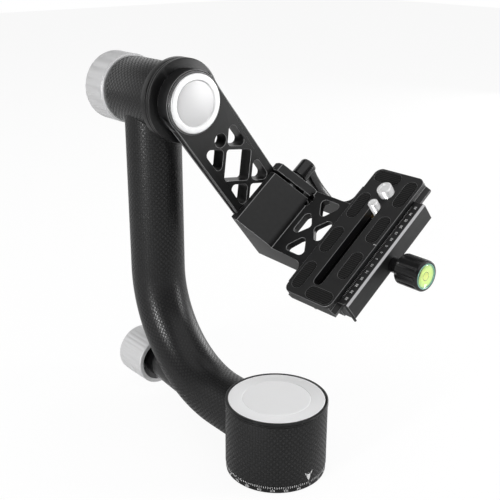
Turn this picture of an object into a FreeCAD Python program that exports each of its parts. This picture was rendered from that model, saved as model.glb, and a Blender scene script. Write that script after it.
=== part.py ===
import FreeCAD, Part
import math
import os
import re
import Sketcher
from FreeCAD import Placement, Rotation, Vector

# Gimbal tripod head. Origin at the middle of the base's underside, +Z up the pan axis,
# +X along the tilt axis from the bent tube towards the lens plate. Millimetres and degrees.

SIZES = {
    # Pan base
    "base_radius": 30.0,
    "plate_height": 4.4,
    "scale_radius": 29.7,
    "turn_gap": 0.25,
    "sleeve_wall": 1.2,
    "rim_height": 2.3,
    "rim_width": 1.3,
    "bond_gap": 0.02,
    "cap_groove_radius": 19.8,
    "cap_groove_width": 0.5,
    "cap_groove_depth": 0.4,
    "edge_chamfer": 0.5,
    "bush_radius": 8.0,
    "bush_length": 12.0,
    "socket_bore": 3.97,
    "flange_radius": 20.0,
    "flange_height": 3.6,
    "shoulder_height": 1.0,
    "foot_screw_circle": 14.5,
    "foot_screw_radius": 2.0,
    "foot_screw_head": 3.8,
    "foot_screw_length": 7.0,
    # Roller bearings, the same size on both axes
    "spindle_radius": 9.0,
    "race_wall": 2.45,
    "outer_race_wall": 2.95,
    "roller_radius": 1.5,
    "roller_play": 0.05,
    "bearing_width": 8.0,
    "roller_inset": 0.6,
    "spacer_wall": 1.4,
    "web_height": 10.8,
    "web_clearance": 0.6,
    "nut_height": 5.0,
    "nut_radius": 12.5,
    "top_room": 7.15,
    # Bent carbon tube
    "tube_radius": 17.6,
    "tube_wall": 2.2,
    "bend_radius": 70.5,
    "spigot_reach": 15.0,
    # Pan lock
    "boss_root_radius": 14.5,
    "boss_tip_radius": 11.0,
    "boss_end": 124.0,
    "neck_radius": 8.5,
    "neck_length": 6.0,
    "lock_screw_radius": 3.0,
    "pin_play": 0.08,
    "seat_gap": 0.3,
    "shoe_radius": 4.2,
    "shoe_length": 7.0,
    "pan_knob_radius": 16.8,
    "pan_knob_front": 120.5,
    "pan_knob_length": 27.0,
    "pan_knob_wall": 2.9,
    "pan_knob_hollow": 19.7,
    "pan_flute_radius": 1.3,
    "pan_flute_depth": 0.35,
    # Tilt housing
    "tilt_height": 206.6,
    "arm_front": 75.4,
    "arm_thickness": 9.5,
    "hub_flange_radius": 25.3,
    "hub_flange_thickness": 4.0,
    "flange_gap": 0.4,
    "fixed_flange_thickness": 5.0,
    "flange_groove": 0.5,
    "tilt_core_radius": 19.7,
    "tilt_housing_length": 44.9,
    "tube_setback": 24.9,
    "front_bearing_setback": 2.7,
    "rear_bearing_setback": 0.3,
    # Tilt lock
    "brake_ring_width": 2.5,
    "brake_ring_radius": 20.3,
    "tilt_thread_radius": 5.0,
    "tilt_knob_radius": 22.1,
    "tilt_knob_length": 21.5,
    "tilt_knob_wall": 2.6,
    "tilt_knob_hollow": 11.0,
    "tilt_knob_hub": 9.5,
    "washer_height": 1.2,
    "tilt_flute_radius": 3.2,
    "tilt_flute_depth": 0.8,
    # Swing arm
    "arm_angle": 37.7,
    "arm_half_width": 19.6,
    "arm_length": 112.6,
    "arm_land": 2.0,
    "arm_groove_depth": 1.5,
    "arm_back_half": 16.6,
    "lattice_pitch": 31.3,
    "lattice_start": 37.7,
    "strut_width": 2.5,
    "rail_width": 5.8,
    "lattice_corner": 3.0,
    "diamond_corner": 2.0,
    "round_hole_at": 31.3,
    "round_hole_radius": 4.4,
    "hub_cap_radius": 17.6,
    "hub_cap_height": 1.75,
    "hub_rim_width": 0.8,
    "hub_rim_height": 1.0,
    "hub_recess_radius": 16.0,
    "hub_recess_depth": 5.6,
    "cap_dish_radius": 13.3,
    "cap_dish_depth": 0.5,
    "hub_bolt_circle": 11.0,
    "hub_bolt_radius": 2.5,
    "hub_bolt_head": 4.2,
    "hub_bolt_head_height": 4.6,
    "hub_bolt_length": 7.0,
    # Height bracket, distances down the arm from the tilt axis
    "bracket_half_width": 24.5,
    "slide_play": 0.3,
    "bracket_top": 76.9,
    "slope_top_reach": 4.4,
    "slope_foot_reach": 23.0,
    "slope_foot": 95.2,
    "step_foot": 97.8,
    "deck_end": 100.2,
    "bracket_bottom": 112.5,
    "keel_bottom": 116.6,
    "bracket_back": 84.2,
    "back_corner_land": 1.5,
    "back_corner_drop": 6.5,
    "web_radius": 7.0,
    "jaw_back_half": 20.9,
    "front_wall": 11.2,
    "deck_thickness": 4.0,
    "side_rail": 3.4,
    "truss_margin": 4.9,
    "truss_neck_across": 1.2,
    "truss_neck_along": 7.0,
    "truss_end_half": 13.0,
    "truss_side_half": 9.2,
    "truss_corner": 2.8,
    "slot_at": 17.4,
    "slot_width": 2.2,
    "relief_radius": 4.6,
    "relief_at": 16.4,
    "height_screw_down": 90.2,
    "height_screw_reach": 9.4,
    "height_screw_radius": 3.0,
    "lever_hub_radius": 4.6,
    "lever_hub_length": 14.6,
    "lever_reach": 33.0,
    "lever_thickness": 5.0,
    # Lens plate clamp
    "plate_centre": -1.5,
    "plate_top": 96.6,
    "plate_length": 100.0,
    "plate_half_width": 18.9,
    "plate_shift": 3.2,
    "plate_rim": 2.8,
    "waist_half_width": 17.3,
    "waist_depth": 4.9,
    "dovetail_half_width": 19.9,
    "dovetail_depth": 7.4,
    "dovetail_land": 0.8,
    "plate_thickness": 10.4,
    "plate_foot_half": 18.5,
    "plate_corner": 5.0,
    "clamp_half_length": 39.2,
    "jaw_top": 100.7,
    "jaw_play": 0.15,
    "clamp_wall": 3.2,
    "clamp_body_end": 13.8,
    "jaw_front": 24.3,
    "jaw_bottom": 113.0,
    "jaw_foot": 1.6,
    "jaw_chamfer": 1.0,
    "clamp_axis_down": 110.4,
    "clamp_screw_radius": 2.5,
    "clamp_screw_depth": 22.0,
    "guide_pin_radius": 2.0,
    "guide_pin_at": 25.0,
    "guide_pin_depth": 14.0,
    "clamp_stem_radius": 4.6,
    "clamp_stem_length": 8.0,
    "clamp_knob_radius": 9.2,
    "clamp_knob_length": 18.0,
    "clamp_flute_radius": 2.2,
    "clamp_flute_depth": 0.6,
    "level_radius": 6.9,
    "level_depth": 4.0,
    "bezel_width": 0.9,
    "stop_pin_radius": 0.8,
    "stop_pin_length": 15.5,
    "stop_pin_inset": 1.0,
    # Lens screws and pads
    "slot_half_width": 3.5,
    "slot_end": 32.5,
    "small_screw_at": 25.0,
    "large_screw_at": 37.0,
    "small_screw_radius": 3.175,
    "large_screw_radius": 4.76,
    "screw_play": 0.3,
    "screw_proud": 5.0,
    "screw_neck": 0.7,
    "thread_clearance": 0.3,
    "small_head_radius": 5.2,
    "large_head_radius": 6.1,
    "screw_head_height": 3.4,
    "screw_channel_half": 6.6,
    "screw_floor": 5.2,
    "clip_thickness": 0.8,
    "clip_wall": 1.6,
    "pad_thickness": 0.9,
    "pad_proud": 0.15,
    "pad_half_width": 4.2,
    "pad_length": 20.0,
    "pad_offset": 12.5,
    "pad_pitch": 28.0,
    "pad_stagger": 8.0,
    "end_pad_at": 44.5,
    "end_pad_offset": 7.2,
    "end_screw_inset": 4.0,
    "end_screw_radius": 1.5,
    "end_screw_head": 2.6,
    "end_screw_height": 2.2,
    "end_screw_length": 5.0,
}
ROLLERS = 12
SCREWS_IN_RING = 4
FLUTES_PAN = 32
FLUTES_TILT = 18
FLUTES_CLAMP = 9

doc = FreeCAD.newDocument("gimbal_head")
sheet = doc.addObject("Spreadsheet::Sheet", "Sizes")
for row, (size_name, size_value) in enumerate(SIZES.items(), start=1):
    sheet.set("A%d" % row, size_name)
    sheet.set("B%d" % row, str(size_value))
    sheet.setAlias("B%d" % row, size_name)
doc.recompute()

# Distances that several pieces share, as formulas of the sheet's cells
LOWER_BEARING = "(plate_height + flange_height + shoulder_height)"
TUBE_HEIGHT = "(%s + bearing_width + web_height / 2)" % LOWER_BEARING
UPPER_BEARING = "(%s + bearing_width + web_height)" % LOWER_BEARING
RIM_FOOT = "(%s + bearing_width + top_room)" % UPPER_BEARING
HOUSING_HEIGHT = "(%s + rim_height)" % RIM_FOOT
INNER_RACE = "(spindle_radius + race_wall)"
OUTER_RACE = "(%s + 2 * roller_radius + 2 * roller_play)" % INNER_RACE
BEARING_BORE = "(%s + outer_race_wall)" % OUTER_RACE
WEB_BORE = "(spindle_radius + spacer_wall + web_clearance)"
ARM_BACK = "(arm_front + arm_thickness)"
HUB_BACK = "(%s + hub_flange_thickness)" % ARM_BACK
FLANGE_FACE = "(%s + flange_gap)" % HUB_BACK
HOUSING_FACE = "(%s + fixed_flange_thickness)" % FLANGE_FACE
HOUSING_END = "(%s + tilt_housing_length)" % HOUSING_FACE
TUBE_AT = "(%s + tube_setback)" % HOUSING_FACE
FRONT_BEARING = "(%s + front_bearing_setback)" % HOUSING_FACE
REAR_BEARING = "(%s - rear_bearing_setback - bearing_width)" % HOUSING_END
BRAKE_FACE = "(%s + seat_gap)" % HOUSING_END
BRAKE_BACK = "(%s + brake_ring_width)" % BRAKE_FACE
KNOB_FACE = "(%s + seat_gap)" % BRAKE_BACK
TUBE_BORE = "(tube_radius - tube_wall)"

pieces = []
known = {}


def number(formula):
    """Value of a formula of the sheet's cells."""
    if formula not in known:
        sheet.set("D1", "=" + formula)
        sheet.recompute()
        known[formula] = float(sheet.get("D1"))
    return known[formula]


def bind(formula):
    """The same formula as other objects of the document read it."""
    return re.sub(r"[A-Za-z_]\w*", lambda m: "Sizes." + m.group(0) if m.group(0) in SIZES else m.group(0),
                  formula)


def tie(thing, path, formula):
    """Bind one property of an object to the sheet."""
    thing.setExpression(path, bind(formula))


def new_body(label):
    """An empty body that becomes one named piece."""
    body = doc.addObject("PartDesign::Body", label)
    body.Label = label
    pieces.append(body)
    return body


def new_sketch(body, name, plane, offset=None, shift=None):
    """A sketch on one of the body's own origin planes, raised and shifted by formulas."""
    sketch = body.newObject("Sketcher::SketchObject", body.Label + "_" + name)
    support = next(item for item in body.Origin.OriginFeatures if item.Role == plane + "_Plane")
    sketch.AttachmentSupport = [(support, "")]
    sketch.MapMode = "FlatFace"
    if offset:
        tie(sketch, ".AttachmentOffset.Base.z", offset)
    for path, formula in zip(("x", "y"), shift or ("0", "0")):
        if formula != "0":
            tie(sketch, ".AttachmentOffset.Base." + path, formula)
    return sketch


def place_point(sketch, index, spot, across, up):
    """Fix a sketch point at two formulas measured from the sketch's origin."""
    for kind, axis, formula in (("DistanceX", -2, across), ("DistanceY", -1, up)):
        if formula == "0":
            sketch.addConstraint(Sketcher.Constraint("PointOnObject", index, spot, axis))
            continue
        sketch.addConstraint(Sketcher.Constraint(kind, -1, 1, index, spot, number(formula)))
        tie(sketch, "Constraints[%d]" % (sketch.ConstraintCount - 1), formula)


def outline(sketch, points):
    """A closed outline of straight edges through points given as formulas."""
    spots = [Vector(number(across), number(up), 0) for across, up in points]
    first = sketch.GeometryCount
    count = len(spots)
    for i in range(count):
        sketch.addGeometry(Part.LineSegment(spots[i], spots[(i + 1) % count]))
    for i in range(count):
        sketch.addConstraint(Sketcher.Constraint("Coincident", first + i, 2, first + (i + 1) % count, 1))
    for i, (across, up) in enumerate(points):
        place_point(sketch, first + i, 1, across, up)


def disc(sketch, across, up, radius):
    """A full circle in a sketch."""
    centre = Vector(number(across), number(up), 0)
    index = sketch.addGeometry(Part.Circle(centre, Vector(0, 0, 1), number(radius)))
    place_point(sketch, index, 3, across, up)
    sketch.addConstraint(Sketcher.Constraint("Radius", index, number(radius)))
    tie(sketch, "Constraints[%d]" % (sketch.ConstraintCount - 1), radius)


def grow(body, kind, name, sketch, length=None, both_sides=False, backwards=False):
    """Pad or pocket a sketch; no length means right through."""
    feature = body.newObject("PartDesign::" + kind, body.Label + "_" + name)
    feature.Profile = sketch
    if both_sides:
        feature.SideType = "Symmetric"
    if length is None:
        feature.Type = "ThroughAll"
    else:
        tie(feature, "Length", length)
    feature.Reversed = backwards
    body.Tip = feature
    return feature


def turn(body, name, sketch, axis, kind="Revolution"):
    """Turn a sketch a full circle about one of its own axes."""
    feature = body.newObject("PartDesign::" + kind, body.Label + "_" + name)
    feature.Profile = sketch
    feature.ReferenceAxis = (sketch, [axis])
    feature.Angle = 360
    body.Tip = feature
    return feature


def turned(label, plane, axis, points, height=None, offset=None, shift=None):
    """A piece turned in one cut from an outline."""
    body = new_body(label)
    sketch = new_sketch(body, "profile", plane, offset, shift)
    outline(sketch, points)
    turn(body, "turning", sketch, axis)
    if height:
        tie(body, ".Placement.Base.z", height)
    return body


def ring(label, inner, outer, low, high):
    """A plain ring about the pan axis."""
    return turned(label, "XZ", "V_Axis", [(inner, low), (outer, low), (outer, high), (inner, high)])


def tilt_ring(label, inner, outer, near, far):
    """A plain ring about the tilt axis, between two distances behind the origin."""
    return turned(label, "XZ", "H_Axis", [("-" + near, inner), ("-" + near, outer), ("-" + far, outer),
                                         ("-" + far, inner)], "tilt_height")


def polar(body, name, feature, axis, count):
    """Repeat a feature round one of the body's axes."""
    pattern = body.newObject("PartDesign::PolarPattern", body.Label + "_" + name)
    line = next(item for item in body.Origin.OriginFeatures if item.Role == axis + "_Axis")
    pattern.Originals = [feature]
    pattern.Axis = (line, [""])
    pattern.Angle = 360
    pattern.Occurrences = count
    body.Tip = pattern
    return pattern


def edges_of(feature, test):
    """Names of the straight edges of a feature that pass a test of their two ends."""
    names = []
    for i, edge in enumerate(feature.Shape.Edges, start=1):
        if edge.Curve.TypeId == "Part::GeomLine" and len(edge.Vertexes) == 2:
            if test(edge.Vertexes[0].Point, edge.Vertexes[1].Point):
                names.append("Edge%d" % i)
    return names


def dress(body, kind, name, feature, names, size):
    """Round or bevel chosen edges by a size of the sheet."""
    done = body.newObject("PartDesign::" + kind, body.Label + "_" + name)
    done.Base = (feature, names)
    tie(done, "Radius" if kind == "Fillet" else "Size", size)
    body.Tip = done
    doc.recompute()
    return done


def follow_arm(thing):
    """Hang a piece that is drawn straight down on the swung arm."""
    thing.Placement = Placement(Vector(0, 0, 1), Rotation(Vector(1, 0, 0), 10))
    tie(thing, ".Placement.Base.z", "tilt_height")
    tie(thing, ".Placement.Rotation.Angle", "arm_angle")


def cylinder(name, radius, length, spot, direction):
    """A cylinder from one end's middle, as formulas, along a direction."""
    rod = doc.addObject("Part::Cylinder", name)
    tie(rod, "Radius", radius)
    tie(rod, "Height", length)
    rod.Placement = Placement(Vector(0, 0, 0), Rotation(Vector(0, 0, 1), direction))
    for path, formula in zip(("x", "y", "z"), spot):
        if formula != "0":
            tie(rod, ".Placement.Base." + path, formula)
    return rod


def group(label, members):
    """Several separate solids as one named piece."""
    bundle = doc.addObject("Part::Compound", label)
    bundle.Label = label
    bundle.Links = members
    pieces.append(bundle)
    return bundle


def fuse(name, members):
    """Primitives joined into one solid."""
    joined = doc.addObject("Part::MultiFuse", name)
    joined.Shapes = members
    return joined


X_AXIS = Vector(1, 0, 0)
Y_AXIS = Vector(0, 1, 0)
Z_AXIS = Vector(0, 0, 1)


# Pan base: the plate that screws to the tripod, its bush, the spindle and what holds it
plate = turned("base_plate", "XZ", "V_Axis", [
    ("bush_radius", "0"), ("scale_radius - edge_chamfer", "0"), ("scale_radius", "edge_chamfer"),
    ("scale_radius", "plate_height"), ("bush_radius", "plate_height")])
for k in range(SCREWS_IN_RING):
    angle = 360.0 / SCREWS_IN_RING * k + 45
    sink = new_sketch(plate, "screw_hole_%d" % k, "XY")
    disc(sink, "foot_screw_circle * %.6f" % math.cos(math.radians(angle)),
         "foot_screw_circle * %.6f" % math.sin(math.radians(angle)), "foot_screw_radius + pin_play")
    grow(plate, "Pocket", "screw_bore_%d" % k, sink, both_sides=True)
recess = new_sketch(plate, "sink", "XZ")
outline(recess, [("foot_screw_circle - foot_screw_head - pin_play", "0"),
                 ("foot_screw_circle + foot_screw_head + pin_play", "0"),
                 ("foot_screw_circle + foot_screw_head + pin_play", "foot_screw_head - foot_screw_radius"),
                 ("foot_screw_circle - foot_screw_head - pin_play", "foot_screw_head - foot_screw_radius")])
turn(plate, "screw_recess", recess, "V_Axis", "Groove")

turned("tripod_bush", "XZ", "V_Axis", [("socket_bore", "0"), ("bush_radius", "0"),
                                       ("bush_radius", "bush_length"), ("socket_bore", "bush_length")])

SPINDLE_TOP = "(%s + bearing_width + nut_height + 1)" % UPPER_BEARING
spindle = turned("pan_spindle", "XZ", "V_Axis", [
    ("bush_radius", "plate_height"), ("flange_radius", "plate_height"),
    ("flange_radius", "plate_height + flange_height"),
    (INNER_RACE + " - 0.3", "plate_height + flange_height"), (INNER_RACE + " - 0.3", LOWER_BEARING),
    ("spindle_radius", LOWER_BEARING), ("spindle_radius", SPINDLE_TOP), ("0", SPINDLE_TOP),
    ("0", "bush_length"), ("bush_radius", "bush_length")])
for k in range(SCREWS_IN_RING):
    angle = 360.0 / SCREWS_IN_RING * k + 45
    sink = new_sketch(spindle, "screw_hole_%d" % k, "XY", "plate_height")
    disc(sink, "foot_screw_circle * %.6f" % math.cos(math.radians(angle)),
         "foot_screw_circle * %.6f" % math.sin(math.radians(angle)), "foot_screw_radius + pin_play")
    grow(spindle, "Pocket", "screw_bore_%d" % k, sink, "flange_height - 0.4", backwards=True)

foot_screws = []
for k in range(SCREWS_IN_RING):
    angle = 360.0 / SCREWS_IN_RING * k + 45
    across = "foot_screw_circle * %.6f" % math.cos(math.radians(angle))
    along = "foot_screw_circle * %.6f" % math.sin(math.radians(angle))
    head = cylinder("foot_screw_head_%d" % k, "foot_screw_head", "foot_screw_head - foot_screw_radius",
                    (across, along, "0"), Z_AXIS)
    shank = cylinder("foot_screw_shank_%d" % k, "foot_screw_radius", "foot_screw_length",
                     (across, along, "0"), Z_AXIS)
    foot_screws.append(fuse("foot_screw_%d" % k, [head, shank]))
group("base_screws", foot_screws)


def rollers(label, low, axis_body):
    """The full set of rollers of one bearing, about Z or behind the origin along the tilt axis."""
    members = []
    pitch = "(%s + roller_radius + roller_play)" % INNER_RACE
    for k in range(ROLLERS):
        turn_angle = math.radians(360.0 / ROLLERS * k + 15)
        first = pitch + " * %.6f" % math.cos(turn_angle)
        second = pitch + " * %.6f" % math.sin(turn_angle)
        length = "bearing_width - 2 * roller_inset"
        if axis_body == "pan":
            spot = (first, second, low + " + roller_inset")
            members.append(cylinder(label + "_%d" % k, "roller_radius", length, spot, Z_AXIS))
        else:
            spot = ("-(%s + bearing_width - roller_inset)" % low, first, "tilt_height + " + second)
            members.append(cylinder(label + "_%d" % k, "roller_radius", length, spot, X_AXIS))
    group(label, members)


for place, low in (("lower", LOWER_BEARING), ("upper", UPPER_BEARING)):
    high = "(%s + bearing_width)" % low
    ring("pan_%s_inner_race" % place, "spindle_radius", INNER_RACE, low, high)
    ring("pan_%s_outer_race" % place, OUTER_RACE, BEARING_BORE, low, high)
    rollers("pan_%s_rollers" % place, low, "pan")
ring("pan_spacer", "spindle_radius", "spindle_radius + spacer_wall",
     "%s + bearing_width" % LOWER_BEARING, UPPER_BEARING)
NUT_LOW = "(%s + bearing_width)" % UPPER_BEARING
ring("pan_spindle_nut", "spindle_radius", "nut_radius", NUT_LOW, NUT_LOW + " + nut_height")

# Pan housing: the turning shell with its rim, web between the bearings and spigot for the tube
FLOOR = "(plate_height + turn_gap)"
housing = turned("pan_housing", "XZ", "V_Axis", [
    ("flange_radius + web_clearance", FLOOR), ("base_radius - sleeve_wall - bond_gap", FLOOR),
    ("base_radius - sleeve_wall - bond_gap", RIM_FOOT), ("base_radius", RIM_FOOT),
    ("base_radius", HOUSING_HEIGHT + " - edge_chamfer"),
    ("base_radius - edge_chamfer", HOUSING_HEIGHT), ("base_radius - rim_width", HOUSING_HEIGHT),
    ("base_radius - rim_width", RIM_FOOT), (BEARING_BORE, RIM_FOOT), (BEARING_BORE, UPPER_BEARING),
    (WEB_BORE, UPPER_BEARING), (WEB_BORE, "%s + bearing_width" % LOWER_BEARING),
    (BEARING_BORE, "%s + bearing_width" % LOWER_BEARING), (BEARING_BORE, LOWER_BEARING + " - 0.3"),
    ("flange_radius + web_clearance", LOWER_BEARING + " - 0.3")])
spigot = new_sketch(housing, "spigot_circle", "YZ", "-(base_radius + spigot_reach)")
disc(spigot, "0", TUBE_HEIGHT, TUBE_BORE + " - bond_gap")
grow(housing, "Pad", "spigot", spigot, "base_radius + spigot_reach - flange_radius - web_clearance")
passage = new_sketch(housing, "screw_passage", "YZ")
disc(passage, "0", TUBE_HEIGHT, "lock_screw_radius + seat_gap")
grow(housing, "Pocket", "screw_way", passage, "base_radius + spigot_reach + 1")
guide = new_sketch(housing, "shoe_guide", "YZ")
disc(guide, "0", TUBE_HEIGHT, "shoe_radius + pin_play")
grow(housing, "Pocket", "shoe_way", guide, WEB_BORE + " + shoe_length + 3")

sleeve = ring("pan_sleeve", "base_radius - sleeve_wall", "base_radius", FLOOR, RIM_FOOT + " - bond_gap")
window = new_sketch(sleeve, "tube_window", "YZ")
disc(window, "0", TUBE_HEIGHT, TUBE_BORE)
grow(sleeve, "Pocket", "tube_way", window, "2 * base_radius")

turned("pan_cap", "XZ", "V_Axis", [
    ("0", RIM_FOOT), ("base_radius - rim_width - bond_gap", RIM_FOOT),
    ("base_radius - rim_width - bond_gap", HOUSING_HEIGHT + " - 0.2"),
    ("base_radius - rim_width - 0.2", HOUSING_HEIGHT),
    ("cap_groove_radius + cap_groove_width", HOUSING_HEIGHT),
    ("cap_groove_radius + cap_groove_width / 2", HOUSING_HEIGHT + " - cap_groove_depth"),
    ("cap_groove_radius", HOUSING_HEIGHT), ("0", HOUSING_HEIGHT)])

# Bent carbon tube: straight fall, one bend and a level run, with both ends cut to their seats
def tube_sweep(name, radius):
    """A solid swept along the tube's centre line."""
    across = "-" + TUBE_AT
    x = number(across)
    low = number(TUBE_HEIGHT)
    bend = number("bend_radius")
    top = number("tilt_height")
    turn_start = Vector(x, 0, low + bend)
    turn_mid = Vector(x + bend * (1 - math.cos(math.pi / 4)), 0, low + bend * (1 - math.sin(math.pi / 4)))
    turn_end = Vector(x + bend, 0, low)
    path = Part.Wire([Part.makeLine(Vector(x, 0, top), turn_start),
                      Part.Arc(turn_start, turn_mid, turn_end).toShape(),
                      Part.makeLine(turn_end, Vector(0, 0, low))])
    circle = Part.Wire([Part.makeCircle(radius, Vector(x, 0, top), Z_AXIS)])
    swept = doc.addObject("Part::Feature", name)
    swept.Shape = path.makePipeShell([circle], True, True)
    return swept


tube_skin = tube_sweep("tube_skin", number("tube_radius"))
tube_hollow = tube_sweep("tube_hollow", number(TUBE_BORE))
tube_cuts = fuse("tube_cuts", [
    tube_hollow,
    cylinder("tube_foot_cut", "base_radius + bond_gap", HOUSING_HEIGHT + " + tube_radius",
             ("0", "0", "-tube_radius"), Z_AXIS),
    cylinder("tube_head_cut", "tilt_core_radius + sleeve_wall + bond_gap", "tilt_housing_length",
             ("-" + HOUSING_END, "0", "tilt_height"), X_AXIS),
    cylinder("tube_screw_hole", "lock_screw_radius + 1", "boss_end",
             ("-boss_end", "0", TUBE_HEIGHT), X_AXIS)])
j_tube = doc.addObject("Part::Cut", "j_tube")
j_tube.Label = "j_tube"
j_tube.Base = tube_skin
j_tube.Tool = tube_cuts
pieces.append(j_tube)

# Pan lock: boss on the bend, long screw through the level run, shoe on the spindle, hollow knob
boss_body = doc.addObject("Part::Cone", "boss_cone")
tie(boss_body, "Radius1", "boss_tip_radius")
tie(boss_body, "Radius2", "boss_root_radius")
tie(boss_body, "Height", "boss_end - " + TUBE_AT + " + bend_radius - tube_radius")
boss_body.Placement = Placement(Vector(1, 0, 1), Rotation(Z_AXIS, X_AXIS))
tie(boss_body, ".Placement.Base.x", "-boss_end")
tie(boss_body, ".Placement.Base.z", TUBE_HEIGHT)
boss_neck = cylinder("boss_neck", "neck_radius", "neck_length + 1",
                     ("-(boss_end + neck_length)", "0", TUBE_HEIGHT), X_AXIS)
boss_bore = cylinder("boss_bore", "lock_screw_radius + pin_play", "boss_end + neck_length + 1",
                     ("-(boss_end + neck_length + 1)", "0", TUBE_HEIGHT), X_AXIS)
boss_tube = doc.addObject("Part::Feature", "boss_tube_cut")
boss_tube.Shape = tube_skin.Shape
boss = doc.addObject("Part::Cut", "pan_lock_boss")
boss.Label = "pan_lock_boss"
boss.Base = fuse("boss_blank", [boss_body, boss_neck])
boss.Tool = fuse("boss_cuts", [boss_tube, boss_bore])
pieces.append(boss)

SHOE_FACE = "(spindle_radius + spacer_wall + seat_gap)"
shoe = new_body("pan_brake_shoe")
shoe_circle = new_sketch(shoe, "circle", "YZ", "-(%s + shoe_length)" % SHOE_FACE)
disc(shoe_circle, "0", "0", "shoe_radius")
grow(shoe, "Pad", "block", shoe_circle, "shoe_length + %s" % SHOE_FACE)
hollow = new_sketch(shoe, "hollow", "XY")
disc(hollow, "0", "0", SHOE_FACE)
grow(shoe, "Pocket", "saddle", hollow, both_sides=True)
tie(shoe, ".Placement.Base.z", TUBE_HEIGHT)

SCREW_TIP = "(%s + shoe_length + seat_gap)" % SHOE_FACE
PAN_KNOB_BACK = "(pan_knob_front + pan_knob_length)"
screw = cylinder("pan_lock_screw", "lock_screw_radius", PAN_KNOB_BACK + " - 4 - " + SCREW_TIP,
                 ("-(%s - 4)" % PAN_KNOB_BACK, "0", TUBE_HEIGHT), X_AXIS)
screw.Label = "pan_lock_screw"
pieces.append(screw)


def fluted_knob(label, points, height, radius, flute_radius, flute_depth, count, far):
    """A turned knob with shallow scallops milled along its grip."""
    body = turned(label, "XZ", "H_Axis", points, height)
    scallop = new_sketch(body, "flute", "YZ")
    disc(scallop, "0", "%s + %s - %s" % (radius, flute_radius, flute_depth), flute_radius)
    cut = grow(body, "Pocket", "flute_cut", scallop, far)
    polar(body, "flutes", cut, "X", count)
    return body


fluted_knob("pan_lock_knob", [
    ("-pan_knob_front", "pan_knob_radius - pan_knob_wall"),
    ("-pan_knob_front", "pan_knob_radius - edge_chamfer"),
    ("-(pan_knob_front + edge_chamfer)", "pan_knob_radius"),
    ("-(%s - 2 * edge_chamfer)" % PAN_KNOB_BACK, "pan_knob_radius - edge_chamfer / 2"),
    ("-" + PAN_KNOB_BACK, "pan_knob_radius - 3 * edge_chamfer"),
    ("-" + PAN_KNOB_BACK, "0"), ("-(%s - 4)" % PAN_KNOB_BACK, "0"),
    ("-(%s - 4)" % PAN_KNOB_BACK, "lock_screw_radius"),
    ("-(pan_knob_front + pan_knob_hollow - 5)", "lock_screw_radius"),
    ("-(pan_knob_front + pan_knob_hollow - 5)", "neck_radius - 2"),
    ("-(pan_knob_front + pan_knob_hollow)", "neck_radius - 2"),
    ("-(pan_knob_front + pan_knob_hollow)", "pan_knob_radius - pan_knob_wall")],
    TUBE_HEIGHT, "pan_knob_radius", "pan_flute_radius", "pan_flute_depth", FLUTES_PAN,
    PAN_KNOB_BACK)

# Tilt housing: cross core with a spigot into the tube, carbon sleeve, fixed flange and bearings
core = turned("tilt_housing", "XZ", "H_Axis", [
    ("-" + HOUSING_FACE, BEARING_BORE), ("-" + HOUSING_FACE, "tilt_core_radius - bond_gap"),
    ("-" + HOUSING_END, "tilt_core_radius - bond_gap"), ("-" + HOUSING_END, BEARING_BORE),
    ("-" + REAR_BEARING, BEARING_BORE), ("-" + REAR_BEARING, WEB_BORE),
    ("-(%s + bearing_width)" % FRONT_BEARING, WEB_BORE),
    ("-(%s + bearing_width)" % FRONT_BEARING, BEARING_BORE)], "tilt_height")
peg = new_sketch(core, "spigot_circle", "XY", "-(tilt_core_radius + spigot_reach)")
disc(peg, "-" + TUBE_AT, "0", TUBE_BORE + " - bond_gap")
grow(core, "Pad", "spigot", peg, "spigot_reach + tilt_core_radius - %s - 1" % WEB_BORE)
bores = new_sketch(core, "bearing_bores", "XZ")
outline(bores, [("-(%s - 1)" % HOUSING_FACE, "0"), ("-(%s - 1)" % HOUSING_FACE, BEARING_BORE),
                ("-(%s + bearing_width)" % FRONT_BEARING, BEARING_BORE),
                ("-(%s + bearing_width)" % FRONT_BEARING, WEB_BORE), ("-" + REAR_BEARING, WEB_BORE),
                ("-" + REAR_BEARING, BEARING_BORE), ("-(%s + 1)" % HOUSING_END, BEARING_BORE),
                ("-(%s + 1)" % HOUSING_END, "0")])
turn(core, "bearing_way", bores, "H_Axis", "Groove")

tilt_sleeve = tilt_ring("tilt_sleeve", "tilt_core_radius", "(tilt_core_radius + sleeve_wall)",
                        "(%s + bond_gap)" % HOUSING_FACE, HOUSING_END)
way = new_sketch(tilt_sleeve, "tube_window", "XY")
disc(way, "-" + TUBE_AT, "0", TUBE_BORE)
grow(tilt_sleeve, "Pocket", "tube_way", way, "2 * tilt_core_radius")

turned("tilt_flange", "XZ", "H_Axis", [
    ("-" + FLANGE_FACE, INNER_RACE + " + 1"), ("-" + FLANGE_FACE, "hub_flange_radius - edge_chamfer"),
    ("-(%s + edge_chamfer)" % FLANGE_FACE, "hub_flange_radius"),
    ("-(%s - edge_chamfer)" % HOUSING_FACE, "hub_flange_radius"),
    ("-" + HOUSING_FACE, "hub_flange_radius - edge_chamfer"), ("-" + HOUSING_FACE, INNER_RACE + " + 1")],
    "tilt_height")

for place, near in (("front", FRONT_BEARING), ("rear", REAR_BEARING)):
    far = "(%s + bearing_width)" % near
    tilt_ring("tilt_%s_inner_race" % place, "spindle_radius", INNER_RACE, near, far)
    tilt_ring("tilt_%s_outer_race" % place, OUTER_RACE, BEARING_BORE, near, far)
    rollers("tilt_%s_rollers" % place, near, "tilt")
tilt_ring("tilt_spacer", "spindle_radius", "(spindle_radius + spacer_wall)",
          "(%s + bearing_width)" % FRONT_BEARING, REAR_BEARING)

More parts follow.
